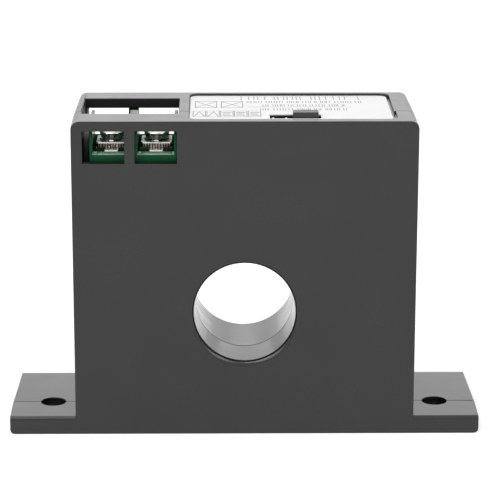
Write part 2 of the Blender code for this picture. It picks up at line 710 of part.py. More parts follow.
def contact_strip(name, x):
    # Flat bar under the clamp, a tab towards the front, and a leg down through the board
    half, tab = STRIP_WIDTH / 2, STRIP_TAB_WIDTH / 2
    front = screw_y - SQUARE_WASHER_SIDE / 2
    tab_front = front - STRIP_TAB_LENGTH
    back = strip_back()
    outline = [(x - tab, tab_front), (x + tab, tab_front), (x + tab, front), (x + half, front),
               (x + half, back), (x - half, back), (x - half, front), (x - tab, front)]
    strip = add_object(name, plate_mesh(outline, strip_bottom, strip_top), bright_metal())
    hole = bmesh.new()
    add_cylinder(hole, (x, screw_y, 0), SCREW_RADIUS + SCREW_HOLE_GAP, strip_bottom - WALL_OVERRUN,
                 strip_top + WALL_OVERRUN, "Z", SCREW_SEGMENTS)
    combine(strip, add_cutter(name + "_hole", hole))
    width = STRIP_LEG_WIDTH / 2
    leg = box_mesh(((x - width, back - STRIP_LEG_THICKNESS, board_bottom - LEAD_TAIL),
                    (x + width, back, strip_top - STRIP_THICKNESS / 2)))
    combine(strip, add_cutter(name + "_leg", leg), "UNION")
    board_holes.append((x, back - STRIP_LEG_THICKNESS / 2, STRIP_LEG_WIDTH / 2 + FIT_GAP))
    return strip


def square_washer(name, x):
    # Clamp plate with broken corners, a dish for the spring washer and a clearance hole for the screw
    half = SQUARE_WASHER_SIDE / 2
    corner = 2 * EDGE_ROUND
    rim_top = washer_top + SQUARE_WASHER_RIM
    outline = rounded_rectangle(x - half, x + half, screw_y - half, screw_y + half, corner)
    washer = add_object(name, plate_mesh(outline, washer_bottom, rim_top), bright_metal())
    hole = bmesh.new()
    add_cylinder(hole, (x, screw_y, 0), SCREW_RADIUS + SCREW_HOLE_GAP, washer_bottom - WALL_OVERRUN,
                 washer_top + WALL_OVERRUN, "Z", SCREW_SEGMENTS)
    dish = bmesh.new()
    add_cylinder(dish, (x, screw_y, 0), SPRING_WASHER_RADIUS + DISH_GAP, washer_top,
                 rim_top + WALL_OVERRUN, "Z", SCREW_SEGMENTS)
    combine(washer, add_cutter(name + "_hole", hole))
    combine(washer, add_cutter(name + "_dish", dish))
    return washer


def spring_washer(name, x):
    # One split turn of square wire that climbs a little from end to end
    bm = bmesh.new()
    inner = SCREW_RADIUS + SCREW_HOLE_GAP
    sweep_angle = math.tau - SPRING_WASHER_OPENING
    rings = []
    for i in range(SPRING_WASHER_STEPS + 1):
        share = i / SPRING_WASHER_STEPS
        a = math.radians(-60) + sweep_angle * share
        low = spring_bottom + SPRING_WASHER_RISE * share
        corners = ((inner, low), (SPRING_WASHER_RADIUS, low),
                   (SPRING_WASHER_RADIUS, low + SPRING_WASHER_THICKNESS), (inner, low + SPRING_WASHER_THICKNESS))
        rings.append([bm.verts.new((x + r * math.cos(a), screw_y + r * math.sin(a), z)) for r, z in corners])
    for one, two in zip(rings, rings[1:]):
        for k in range(4):
            n = (k + 1) % 4
            bm.faces.new((one[k], one[n], two[n], two[k]))
    bm.faces.new(list(reversed(rings[0])))
    bm.faces.new(rings[-1])
    return add_object(name, bm, bright_metal())


def clamp_screw(name, x):
    # Pan head with a cross recess, turned about the screw's own axis
    tip = -SCREW_LENGTH
    side = HEAD_HEIGHT - HEAD_CROWN
    crown = []
    for i in range(CORNER_STEPS + 1):
        a = math.radians(90) * i / CORNER_STEPS
        crown.append((HEAD_RADIUS * math.cos(a), side + HEAD_CROWN * math.sin(a)))
    crown[-1] = (0, HEAD_HEIGHT)
    profile = [(0, tip), (SCREW_RADIUS - SCREW_TIP_CHAMFER, tip), (SCREW_RADIUS, tip + SCREW_TIP_CHAMFER),
               (SCREW_RADIUS, 0), (HEAD_RADIUS, 0)] + crown
    bm = bmesh.new()
    revolve(bm, profile, (0, 0, 0), "Z", SCREW_SEGMENTS)
    screw = add_object(name, bm, bright_metal(), (x, screw_y, head_bottom))
    floor = head_bottom + HEAD_HEIGHT - RECESS_DEPTH
    top = head_bottom + HEAD_HEIGHT + WALL_OVERRUN
    reach, half = RECESS_REACH, RECESS_WIDTH / 2
    along = box_mesh(((x - reach, screw_y - half, floor), (x + reach, screw_y + half, top)))
    combine(screw, add_cutter(name + "_slot_x", along))
    across = box_mesh(((x - half, screw_y - reach, floor), (x + half, screw_y + reach, top)))
    combine(screw, add_cutter(name + "_slot_y", across))
    return screw


def header_base_piece(name, bottom):
    # A strip of square cells with broken corners, one for each pin
    cell = PIN_PITCH / 2
    front, back = -HEADER_BASE_DEPTH / 2, HEADER_BASE_DEPTH / 2
    near, far = [], []
    for x in pin_xs:
        near += [(x - cell, pin_y + front + HEADER_NOTCH), (x - cell + HEADER_NOTCH, pin_y + front),
                 (x + cell - HEADER_NOTCH, pin_y + front)]
        far += [(x - cell + HEADER_NOTCH, pin_y + back), (x + cell - HEADER_NOTCH, pin_y + back),
                (x + cell, pin_y + back - HEADER_NOTCH)]
    last = pin_xs[-1] + cell
    first = pin_xs[0] - cell
    outline = near + [(last, pin_y + front + HEADER_NOTCH)] + list(reversed(far))
    outline += [(first, pin_y + back - HEADER_NOTCH)]
    base = add_object(name, plate_mesh(outline, bottom, bottom + HEADER_BASE_HEIGHT), header_plastic())
    bm = bmesh.new()
    half = PIN_SIDE / 2 + SLIP_GAP
    for x in pin_xs:
        add_box(bm, (x - half, pin_y - half, bottom - WALL_OVERRUN),
                (x + half, pin_y + half, bottom + HEADER_BASE_HEIGHT + WALL_OVERRUN))
    combine(base, add_cutter(name + "_holes", bm))
    return base


def header_pin(name, x):
    bm = bmesh.new()
    half = PIN_SIDE / 2
    add_box(bm, (x - half, pin_y - half, board_bottom - LEAD_TAIL), (x + half, pin_y + half, pin_top))
    shoulder = pin_top - half
    bmesh.ops.bisect_plane(bm, geom=bm.verts[:] + bm.edges[:] + bm.faces[:], dist=MM / 1000,
                           plane_co=(0, 0, shoulder), plane_no=(0, 0, 1))
    tips = [v for v in bm.verts if v.co.z > shoulder + MM / 100]
    bmesh.ops.scale(bm, vec=(PIN_POINT, PIN_POINT, 1.0), verts=tips,
                    space=Matrix.Translation((-x, -pin_y, 0)))
    board_holes.append((x, pin_y, math.hypot(half, half) + SLIP_GAP))
    return add_object(name, bm, brass())


def jumper_cap():
    bm = bmesh.new()
    half_x, half_y = JUMPER_WIDTH / 2, JUMPER_DEPTH / 2
    add_box(bm, (jumper_x - half_x, pin_y - half_y, jumper_bottom),
            (jumper_x + half_x, pin_y + half_y, jumper_top))
    round_edges(bm, lambda a, b: abs(a.co.z - b.co.z) > MM, JUMPER_ROUND)
    cap = add_object("jumper_cap", bm, header_plastic())
    in_x, in_y = half_x - JUMPER_WALL, half_y - JUMPER_WALL
    pocket = box_mesh(((jumper_x - in_x, pin_y - in_y, jumper_bottom - WALL_OVERRUN),
                       (jumper_x + in_x, pin_y + in_y, clip_top + SLIP_GAP)))
    combine(cap, add_cutter("jumper_pocket", pocket))
    return cap


def jumper_clip():
    # Bent contact inside the cap: two long sides, two ends and a bridge on top
    half_x = JUMPER_WIDTH / 2 - JUMPER_WALL - SLIP_GAP
    half_y = JUMPER_DEPTH / 2 - JUMPER_WALL - SLIP_GAP
    bottom = jumper_bottom + SLIP_GAP
    clip = add_object("jumper_clip", box_mesh(((jumper_x - half_x, pin_y - half_y, bottom),
                                               (jumper_x + half_x, pin_y + half_y, clip_top))), brass())
    inner_x, inner_y = half_x - CLIP_THICKNESS, half_y - CLIP_THICKNESS
    hollow = box_mesh(((jumper_x - inner_x, pin_y - inner_y, bottom - WALL_OVERRUN),
                       (jumper_x + inner_x, pin_y + inner_y, clip_top - CLIP_THICKNESS)))
    combine(clip, add_cutter("clip_hollow", hollow))
    return clip


def toroid_core():
    half = CORE_WIDTH / 2
    soft = EDGE_ROUND
    profile = [(core_inner + soft, -half), (core_outer - soft, -half), (core_outer, -half + soft),
               (core_outer, half - soft), (core_outer - soft, half), (core_inner + soft, half),
               (core_inner, half - soft), (core_inner, -half + soft), (core_inner + soft, -half)]
    bm = bmesh.new()
    revolve(bm, profile, (0, 0, bore_z), "Y", COIL_SEGMENTS)
    return add_object("toroid_core", bm, material("tape_wound_core", (0.12, 0.12, 0.13), 0.4, 0.8))


def secondary_winding():
    # Wound sleeve round the core; the gap where winding starts and ends faces up
    bm = bmesh.new()
    start = math.radians(90) + WINDING_GAP_ANGLE / 2
    span = math.tau - WINDING_GAP_ANGLE
    rings = []
    for i in range(WINDING_STEPS + 1):
        a = start + span * i / WINDING_STEPS
        ripple = TURN_RELIEF if i % 2 else 0.0
        r_in, r_out, half = winding_inner + ripple, winding_outer - ripple, winding_half - ripple
        c_in, c_out, c_half = core_inner - FIT_GAP, core_outer + FIT_GAP, CORE_WIDTH / 2 + FIT_GAP
        corners = ((r_in, -half), (r_out, -half), (r_out, half), (r_in, half),
                   (c_in, -c_half), (c_out, -c_half), (c_out, c_half), (c_in, c_half))
        rings.append([bm.verts.new((r * math.cos(a), y, bore_z + r * math.sin(a))) for r, y in corners])
    for one, two in zip(rings, rings[1:]):
        for base in (0, 4):
            for k in range(4):
                n = (k + 1) % 4
                bm.faces.new((one[base + k], one[base + n], two[base + n], two[base + k]))
    for ring in (rings[0], rings[-1]):
        for k in range(4):
            n = (k + 1) % 4
            bm.faces.new((ring[k], ring[n], ring[4 + n], ring[4 + k]))
    return add_object("secondary_winding", bm, copper())


def lead_wire(name, side):
    # From the wound surface beside the gap straight up through the board
    angle = WINDING_GAP_ANGLE / 2 + LEAD_START_ANGLE
    x = side * winding_outer * math.sin(angle)
    y = winding_half - LEAD_SETBACK
    low = bore_z + winding_outer * math.cos(angle) + FIT_GAP
    bm = bmesh.new()
    sweep(bm, [(x, y, low), (x, y, board_bottom), (x, y, board_top + LEAD_TAIL)], LEAD_RADIUS)
    board_holes.append((x, y, LEAD_RADIUS + FIT_GAP))
    return add_object(name, bm, copper())


def axial_resistor(name, x, y, finish):
    # Barrel with bulged ends and two leads bent down through the board
    z = board_top + PART_STANDOFF + RESISTOR_RADIUS
    half, span = RESISTOR_LENGTH / 2, RESISTOR_LEAD_SPAN / 2
    tail = board_bottom - LEAD_TAIL
    bm = bmesh.new()
    path = [(x - span, y, tail), (x - span, y, z - LEAD_RADIUS), (x - span + LEAD_RADIUS, y, z),
            (x + span - LEAD_RADIUS, y, z), (x + span, y, z - LEAD_RADIUS), (x + span, y, tail)]
    sweep(bm, path, LEAD_RADIUS)
    resistor = add_object(name, bm, finish)
    barrel = bmesh.new()
    waist = RESISTOR_RADIUS - RESISTOR_WAIST
    bulge = RESISTOR_RADIUS
    end = half - RESISTOR_WAIST
    inner = end - RESISTOR_RADIUS
    steps = ((0, -half), (waist, -half), (bulge, -end), (bulge, -inner), (waist, -inner + RESISTOR_WAIST),
             (waist, inner - RESISTOR_WAIST), (bulge, inner), (bulge, end), (waist, half), (0, half))
    revolve(barrel, steps, (0, 0, 0), "Z", SMALL_SEGMENTS)
    place = Matrix.Translation((x, y, z)) @ Matrix.Rotation(math.radians(90), 4, "Y")
    bmesh.ops.transform(barrel, matrix=place, verts=barrel.verts)
    combine(resistor, add_cutter(name + "_barrel", barrel), "UNION")
    for lead_x in (x - span, x + span):
        board_holes.append((lead_x, y, LEAD_RADIUS + FIT_GAP))
    return resistor


def boxed_part(name, x, y, size, leads, finish):
    # A moulded body that stands just off the board on its leads
    low = board_top + PART_STANDOFF
    bm = bmesh.new()
    add_box(bm, (x - size[0] / 2, y - size[1] / 2, low), (x + size[0] / 2, y + size[1] / 2, low + size[2]))
    round_edges(bm, lambda a, b: min(a.co.z, b.co.z) > low + MM / 100, EDGE_ROUND, 1)
    part = add_object(name, bm, finish)
    pins = bmesh.new()
    for lead_x, lead_y in leads:
        add_cylinder(pins, (lead_x, lead_y, 0), LEAD_RADIUS, board_bottom - LEAD_TAIL, low + PART_STANDOFF)
        board_holes.append((lead_x, lead_y, LEAD_RADIUS + FIT_GAP))
    combine(part, add_cutter(name + "_leads", pins), "UNION")
    return part


def smoothing_capacitor(x, y):
    # Upright can with a rolled groove near its foot
    low = board_top + PART_STANDOFF
    top = low + CAPACITOR_HEIGHT
    groove = CAPACITOR_RADIUS - EDGE_ROUND
    profile = [(0, low), (groove, low), (CAPACITOR_RADIUS, low + EDGE_ROUND),
               (CAPACITOR_RADIUS, low + 3 * EDGE_ROUND), (groove, low + 4 * EDGE_ROUND),
               (CAPACITOR_RADIUS, low + 5 * EDGE_ROUND), (CAPACITOR_RADIUS, top - EDGE_ROUND),
               (groove, top), (0, top)]
    bm = bmesh.new()
    revolve(bm, profile, (0, 0, 0), "Z", 2 * SMALL_SEGMENTS)
    bmesh.ops.translate(bm, vec=(x, y, 0), verts=bm.verts)
    part = add_object("smoothing_capacitor", bm, material("capacitor_sleeve", (0.03, 0.05, 0.16), 0.4))
    pins = bmesh.new()
    for lead_x in (x - CAPACITOR_LEAD_SPAN / 2, x + CAPACITOR_LEAD_SPAN / 2):
        add_cylinder(pins, (lead_x, y, 0), LEAD_RADIUS, board_bottom - LEAD_TAIL, low + EDGE_ROUND)
        board_holes.append((lead_x, y, LEAD_RADIUS + FIT_GAP))
    combine(part, add_cutter("capacitor_leads", pins), "UNION")
    return part


def circuit_board():
    # Drilled last, because each piece that is soldered in asks for its own holes
    half_x = inner_side - (rear_y - seam_y) * math.tan(REAR_DRAFT) - BOARD_SIDE_GAP
    half_y = HOUSING_DEPTH / 2 - WALL - BOARD_SIDE_GAP
    board = add_object("circuit_board", box_mesh(((-half_x, -half_y, board_bottom), (half_x, half_y, board_top))),
                       material("board_laminate", (0.02, 0.16, 0.06), 0.45))
    bm = bmesh.new()
    for x, y, radius in board_holes:
        add_cylinder(bm, (x, y, 0), radius, board_bottom - WALL_OVERRUN, board_top + WALL_OVERRUN,
                     "Z", SMALL_SEGMENTS)
    combine(board, add_cutter("board_drills", bm))
    return board


def electronics():
    made = []
    row_x = (pin_xs[0] + pin_xs[-1]) / 2
    tan = material("resistor_lacquer", (0.30, 0.42, 0.50), 0.45)
    for i in range(PIN_COUNT - 1):
        y = pin_y + RESISTOR_SETBACK + i * RESISTOR_SPACING
        made.append(axial_resistor("burden_resistor_" + str(i + 1), row_x, y, tan))
    left_x = partition_right + FIT_GAP + FILM_SIZE[0] / 2
    film_y = pin_y + FILM_SIZE[1] / 2
    film_leads = [(left_x - FILM_LEAD_SPAN / 2, film_y), (left_x + FILM_LEAD_SPAN / 2, film_y)]
    made.append(boxed_part("film_capacitor", left_x, film_y, FILM_SIZE, film_leads,
                           material("film_box", (0.45, 0.05, 0.04), 0.4)))
    rectifier_y = film_y + FILM_SIZE[1] / 2 + 2 * FIT_GAP + RECTIFIER_SIZE[1] / 2
    reach_x, reach_y = RECTIFIER_LEAD_SPAN / 2, RECTIFIER_LEAD_SPAN / 2
    corners = [(left_x + sx * reach_x, rectifier_y + sy * reach_y) for sx in (-1, 1) for sy in (-1, 1)]
    made.append(boxed_part("bridge_rectifier", left_x, rectifier_y, RECTIFIER_SIZE, corners, header_plastic()))
    trim_x = inner_side - LEDGE_REACH - FIT_GAP - TRIMMER_SIZE[0] / 2
    trim_y = front_y + WALL + TRIMMER_WALL_GAP + TRIMMER_SIZE[1] / 2
    trim_leads = [(trim_x, trim_y + TRIMMER_LEAD_SPAN * i) for i in (-1, 0, 1)]
    trimmer = boxed_part("trim_potentiometer", trim_x, trim_y, TRIMMER_SIZE, trim_leads,
                         material("trimmer_blue", (0.02, 0.09, 0.42), 0.4))
    stem = bmesh.new()
    stem_low = board_top + PART_STANDOFF + TRIMMER_SIZE[2] - EDGE_ROUND
    stem_y = trim_y - TRIMMER_SIZE[1] / 2 + 2 * TRIMMER_SCREW_RADIUS
    add_cylinder(stem, (trim_x, stem_y, 0), TRIMMER_SCREW_RADIUS, stem_low, stem_low + 3 * EDGE_ROUND)
    combine(trimmer, add_cutter("trimmer_stem", stem), "UNION")
    made.append(trimmer)
    can_x = row_x + RESISTOR_LEAD_SPAN / 2 + LEAD_RADIUS + 2 * FIT_GAP + CAPACITOR_RADIUS
    can_y = pin_y + RESISTOR_SETBACK + RESISTOR_SPACING
    made.append(smoothing_capacitor(can_x, can_y))
    return made


def build():
    clear_scene()
    pieces = [front_shell(), rear_shell(), label_plate(), terminal_body()]
    for side, x in zip(("left", "right"), pole_x):
        pieces.append(contact_strip("contact_strip_" + side, x))
        pieces.append(square_washer("square_washer_" + side, x))
        pieces.append(spring_washer("spring_washer_" + side, x))
        pieces.append(clamp_screw("clamp_screw_" + side, x))
    pieces.append(header_base_piece("header_base", board_top))
    pieces.append(header_base_piece("header_upper_base", upper_base_bottom))
    for i, x in enumerate(pin_xs):
        pieces.append(header_pin("header_pin_" + str(i + 1), x))
    pieces += [jumper_cap(), jumper_clip(), toroid_core(), secondary_winding()]
    pieces += [lead_wire("lead_wire_1", -1), lead_wire("lead_wire_2", 1)]
    pieces += electronics()
    pieces.append(circuit_board())
    for piece in pieces:
        apply_cuts(piece)
    for tool in [obj for obj in bpy.data.objects if obj not in pieces]:
        bpy.data.objects.remove(tool, do_unlink=True)
    for piece in pieces:
        piece.data.shade_smooth()
        piece.data.set_sharp_from_angle(angle=SMOOTH_ANGLE)


build()
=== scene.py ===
import math
import random

import bmesh
import bpy
from mathutils import Matrix, Vector


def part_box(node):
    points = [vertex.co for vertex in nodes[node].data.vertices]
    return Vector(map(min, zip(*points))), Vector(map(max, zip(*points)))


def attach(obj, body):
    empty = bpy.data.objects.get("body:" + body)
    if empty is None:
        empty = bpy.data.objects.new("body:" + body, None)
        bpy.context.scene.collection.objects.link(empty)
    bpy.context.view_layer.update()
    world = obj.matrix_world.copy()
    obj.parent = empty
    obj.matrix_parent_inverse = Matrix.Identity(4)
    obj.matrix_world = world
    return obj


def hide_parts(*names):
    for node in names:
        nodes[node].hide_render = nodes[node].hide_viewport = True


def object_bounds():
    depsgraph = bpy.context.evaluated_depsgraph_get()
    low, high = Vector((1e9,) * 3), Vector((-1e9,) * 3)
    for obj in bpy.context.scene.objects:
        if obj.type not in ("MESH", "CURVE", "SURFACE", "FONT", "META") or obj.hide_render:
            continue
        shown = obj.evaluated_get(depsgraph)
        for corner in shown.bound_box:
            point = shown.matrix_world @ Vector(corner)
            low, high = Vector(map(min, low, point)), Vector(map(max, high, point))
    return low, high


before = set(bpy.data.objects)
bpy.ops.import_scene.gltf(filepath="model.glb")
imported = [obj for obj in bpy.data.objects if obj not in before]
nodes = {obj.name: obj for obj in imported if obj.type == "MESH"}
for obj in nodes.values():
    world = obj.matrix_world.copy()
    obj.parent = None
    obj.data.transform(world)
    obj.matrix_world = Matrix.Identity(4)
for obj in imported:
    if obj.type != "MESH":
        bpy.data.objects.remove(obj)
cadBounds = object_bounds()
mm = 0.001
hair = 0.001 * mm  # closer than this is the same place
print("frame loaded,", len(nodes), "nodes")


# Node tree helpers

def newMaterial(name):
    material = bpy.data.materials.new(name)
    material.use_nodes = True
    return material, material.node_tree, material.node_tree.nodes["Principled BSDF"]


def addNode(tree, kind, inputs=None, **settings):
    node = tree.nodes.new("ShaderNode" + kind)
    for setting, value in settings.items():
        setattr(node, setting, value)
    for socket, value in (inputs or {}).items():
        node.inputs[socket].default_value = value
    return node


def feed(tree, value, socket):
    # A number is set on the socket, and an output is linked to it
    if isinstance(value, (int, float)):
        socket.default_value = value
    else:
        tree.links.new(value, socket)


def objectPlace(tree, scale=(1, 1, 1), shift=(0, 0, 0)):
    coordinates = addNode(tree, "TexCoord")
    mapping = addNode(tree, "Mapping", {"Location": shift, "Scale": scale})
    tree.links.new(coordinates.outputs["Object"], mapping.inputs["Vector"])
    return mapping.outputs["Vector"]


def noise(tree, place, perMetre, detail=3):
    node = addNode(tree, "TexNoise", {"Scale": perMetre, "Detail": detail})
    tree.links.new(place, node.inputs["Vector"])
    return node.outputs["Fac"]


def ranged(tree, value, low, high, start=0.35, end=0.65):
    # Spreads the middle of a noise over low..high
    node = addNode(tree, "MapRange",
                   {"From Min": start, "From Max": end, "To Min": low, "To Max": high})
    tree.links.new(value, node.inputs["Value"])
    return node.outputs["Result"]


def maths(tree, operation, *values):
    node = addNode(tree, "Math", operation=operation)
    for socket, value in zip(node.inputs, values):
        feed(tree, value, socket)
    return node.outputs["Value"]


def shades(tree, factor, stops, interpolation="LINEAR"):
    node = addNode(tree, "ValToRGB")
    ramp = node.color_ramp
    ramp.interpolation = interpolation
    ramp.elements.remove(ramp.elements[1])  # a new ramp has two stops
    ramp.elements[0].position = stops[0][0]
    ramp.elements[0].color = (*stops[0][1], 1)
    for position, colour in stops[1:]:
        ramp.elements.new(position).color = (*colour, 1)
    tree.links.new(factor, node.inputs["Fac"])
    return node.outputs["Color"]


def clouded(tree, clouds, dark, light, start=0.3, end=0.7):
    return shades(tree, clouds, [(start, dark), (end, light)])


def mixed(tree, factor, one, two, blend="MIX"):
    # The node's colour sockets share their names with its number sockets, so they go by place
    firstColour, secondColour, mixedColour = 6, 7, 2
    node = addNode(tree, "Mix", data_type="RGBA", blend_type=blend)
    feed(tree, factor, node.inputs["Factor"])
    tree.links.new(one, node.inputs[firstColour])
    tree.links.new(two, node.inputs[secondColour])
    return node.outputs[mixedColour]


def bumps(tree, shader, height, depth):
    node = addNode(tree, "Bump", {"Strength": 1.0, "Distance": depth})
    tree.links.new(height, node.inputs["Height"])
    tree.links.new(node.outputs["Normal"], shader.inputs["Normal"])


def seenDirectly(tree):
    # 1 for what the camera, gloss and glass show, 0 for light on its way to a dull surface
    rays = addNode(tree, "LightPath")
    return maths(tree, "MAXIMUM", rays.outputs["Is Camera Ray"],
                 maths(tree, "MAXIMUM", rays.outputs["Is Glossy Ray"],
                       rays.outputs["Is Transmission Ray"]))


def middleOf(nodeName):
    low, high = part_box(nodeName)
    return (low + high) / 2


# Finishes

def plastic(name, look):
    # Moulded plastic: cloudy colour, uneven gloss and the fine grain of a spark-eroded mould
    material, tree, shader = newMaterial(name)
    place = objectPlace(tree)
    clouds = noise(tree, place, look["clouds"], detail=4)
    tree.links.new(clouded(tree, clouds, look["dark"], look["light"]), shader.inputs["Base Color"])
    gloss = ranged(tree, noise(tree, place, look["smudges"]), *look["roughness"])
    tree.links.new(gloss, shader.inputs["Roughness"])
    bumps(tree, shader, noise(tree, place, look["grain"], detail=2), look["depth"])
    shader.inputs["Specular IOR Level"].default_value = look.get("specular", 0.5)
    return material


def metal(name, look):
    # Plated metal: slight tarnish clouds, rolling lines and small pits
    material, tree, shader = newMaterial(name)
    place = objectPlace(tree)
    tarnish = noise(tree, place, look["clouds"], detail=4)
    tree.links.new(clouded(tree, tarnish, look["dark"], look["light"], start=0.35, end=0.6),
                   shader.inputs["Base Color"])
    drawn = objectPlace(tree, scale=look.get("drawn", (1, 1, 1)))
    lines = noise(tree, drawn, look["lines"], detail=2)
    tree.links.new(ranged(tree, lines, *look["roughness"]), shader.inputs["Roughness"])
    bumps(tree, shader, lines, look["depth"])
    shader.inputs["Metallic"].default_value = 1.0
    return material


plasticLooks = {
    "housingPlastic": {"dark": (0.010, 0.010, 0.010), "light": (0.015, 0.015, 0.015), "clouds": 70,
                       "smudges": 240, "roughness": (0.19, 0.23), "grain": 2400,
                       "depth": 0.004 * mm},
    # Inside faces: matt, and painted darker than the skin as painted shade
    "insidePaintedShade": {"dark": (0.006, 0.006, 0.006), "light": (0.009, 0.009, 0.009), "clouds": 70,
                      "smudges": 240, "roughness": (0.5, 0.62), "grain": 2400,
                      "depth": 0.01 * mm, "specular": 0.25},
    "boreGloss": {"dark": (0.012, 0.012, 0.012), "light": (0.017, 0.017, 0.017), "clouds": 70,
                  "smudges": 240, "roughness": (0.12, 0.20), "grain": 2400,
                  "depth": 0.003 * mm, "specular": 0.72},
    "terminalPlastic": {"dark": (0.003, 0.080, 0.025), "light": (0.007, 0.115, 0.040),
                        "clouds": 300, "smudges": 700, "roughness": (0.16, 0.26), "grain": 4000,
                        "depth": 0.003 * mm, "specular": 0.15},
    # The lip's top: a pale green that is painted highlight, standing in for light from above
    # falling on it
    "paintedHighlightLip": {"dark": (0.24, 0.56, 0.39), "light": (0.32, 0.68, 0.49), "clouds": 500,
                    "smudges": 700, "roughness": (0.06, 0.14), "grain": 4000,
                    "depth": 0.001 * mm},
    "headerPlastic": {"dark": (0.022, 0.022, 0.024), "light": (0.034, 0.034, 0.036), "clouds": 400,
                      "smudges": 900, "roughness": (0.38, 0.5), "grain": 4000,
                      "depth": 0.003 * mm},
    "jumperPlastic": {"dark": (0.050, 0.050, 0.052), "light": (0.064, 0.064, 0.066), "clouds": 400,
                      "smudges": 900, "roughness": (0.34, 0.46), "grain": 5000,
                      "depth": 0.004 * mm},
    "labelFilm": {"dark": (0.88, 0.88, 0.88), "light": (0.92, 0.92, 0.92), "clouds": 120,
                  "smudges": 300, "roughness": (0.4, 0.5), "grain": 900, "depth": 0.004 * mm},
    "labelInk": {"dark": (0.16, 0.16, 0.17), "light": (0.26, 0.26, 0.27), "clouds": 3000,
                 "smudges": 900, "roughness": (0.4, 0.5), "grain": 3000, "depth": 0.002 * mm},
    "filmBox": {"dark": (0.36, 0.035, 0.028), "light": (0.46, 0.052, 0.04), "clouds": 300,
                "smudges": 700, "roughness": (0.25, 0.36), "grain": 2500, "depth": 0.004 * mm},
    "trimmerBox": {"dark": (0.012, 0.07, 0.34), "light": (0.02, 0.10, 0.44), "clouds": 300,
                   "smudges": 700, "roughness": (0.25, 0.4), "grain": 2500, "depth": 0.004 * mm},
    "epoxyBlack": {"dark": (0.014, 0.014, 0.015), "light": (0.026, 0.026, 0.028), "clouds": 500,
                   "smudges": 900, "roughness": (0.42, 0.6), "grain": 6000, "depth": 0.006 * mm},
}
metalLooks = {
    "tinPlate": {"dark": (0.60, 0.585, 0.56), "light": (0.86, 0.85, 0.83), "clouds": 500,
                 "lines": 3000, "drawn": (0.15, 1, 1), "roughness": (0.18, 0.34),
                 "depth": 0.003 * mm},
    "brightTin": {"dark": (0.84, 0.82, 0.79), "light": (0.96, 0.95, 0.93), "clouds": 500,
                  "lines": 3000, "drawn": (0.15, 1, 1), "roughness": (0.10, 0.20),
                  "depth": 0.002 * mm},
    # Painted shade for the washer's notch walls, ends and corners below its top band: near black
    # tin
    "notchPaintedShade": {"dark": (0.015, 0.013, 0.010), "light": (0.05, 0.04, 0.032), "clouds": 900,
                "lines": 3000, "roughness": (0.3, 0.5), "depth": 0.006 * mm},
    # Painted shade and dull painted reflection for the washer's front and back faces between the
    # notches: dark brownish tin with paler flecks
    "toothPaintedShade": {"dark": (0.16, 0.13, 0.105), "light": (0.55, 0.50, 0.44), "clouds": 1500,
                "lines": 3000, "roughness": (0.25, 0.45), "depth": 0.006 * mm},
    # A green-tinted tin for the strip's front faces beside the tab
    "greenTintTin": {"dark": (0.05, 0.10, 0.065), "light": (0.13, 0.22, 0.15), "clouds": 900,
                     "lines": 3000, "roughness": (0.3, 0.45), "depth": 0.004 * mm},
    "screwPlate": {"dark": (0.58, 0.55, 0.50), "light": (0.88, 0.86, 0.82), "clouds": 700,
                   "lines": 4000, "roughness": (0.16, 0.32), "depth": 0.003 * mm},
    "pinPlate": {"dark": (0.62, 0.60, 0.56), "light": (0.90, 0.89, 0.86), "clouds": 900,
                 "lines": 4000, "drawn": (1, 1, 0.1), "roughness": (0.2, 0.32),
                 "depth": 0.002 * mm},
    "springBrass": {"dark": (0.52, 0.36, 0.14), "light": (0.74, 0.56, 0.28), "clouds": 900,
                    "lines": 4000, "drawn": (1, 1, 0.1), "roughness": (0.22, 0.36),
                    "depth": 0.002 * mm},
    "enamelCopper": {"dark": (0.36, 0.10, 0.035), "light": (0.62, 0.22, 0.085), "clouds": 260,
                     "lines": 2600, "roughness": (0.2, 0.34), "depth": 0.003 * mm},
    "solder": {"dark": (0.44, 0.44, 0.45), "light": (0.70, 0.70, 0.71), "clouds": 900,
               "lines": 2600, "roughness": (0.28, 0.46), "depth": 0.006 * mm},
}
finishes = {name: plastic(name, look) for name, look in plasticLooks.items()}
finishes.update({name: metal(name, look) for name, look in metalLooks.items()})

lacquer = {"body": (0.20, 0.42, 0.52), "ringStarts": (0.14, 0.30, 0.44, 0.58, 0.80),
           "ringWidth": 0.07, "faded": (0.75, 0.75, 0.75), "fresh": (1, 1, 1),
           "clouds": 600, "roughness": (0.22, 0.34), "grain": 1800, "depth": 0.01 * mm,
           "brown": (0.10, 0.03, 0.012), "black": (0.012, 0.012, 0.012),
           "red": (0.52, 0.03, 0.02), "orange": (0.75, 0.20, 0.02),
           "yellow": (0.75, 0.55, 0.03), "green": (0.03, 0.25, 0.06)}


def ringedLacquer(name, centreX, reach, ringColours):
    # A resistor's lacquer, with its coloured rings counted along X from its left end
    material, tree, shader = newMaterial(name)
    place = objectPlace(tree)
    axis = addNode(tree, "SeparateXYZ")
    tree.links.new(place, axis.inputs["Vector"])
    along = ranged(tree, axis.outputs["X"], 0, 1, start=centreX - reach, end=centreX + reach)
    stops = [(0.0, lacquer["body"])]
    for start, colour in zip(lacquer["ringStarts"], ringColours):
        stops += [(start, lacquer[colour]), (start + lacquer["ringWidth"], lacquer["body"])]
    rings = shades(tree, along, stops, "CONSTANT")
    clouds = noise(tree, place, lacquer["clouds"])
    worn = clouded(tree, clouds, lacquer["faded"], lacquer["fresh"], end=0.6)
    tree.links.new(mixed(tree, 1.0, rings, worn, "MULTIPLY"), shader.inputs["Base Color"])
    tree.links.new(ranged(tree, clouds, *lacquer["roughness"]), shader.inputs["Roughness"])
    bumps(tree, shader, noise(tree, place, lacquer["grain"]), lacquer["depth"])
    return material


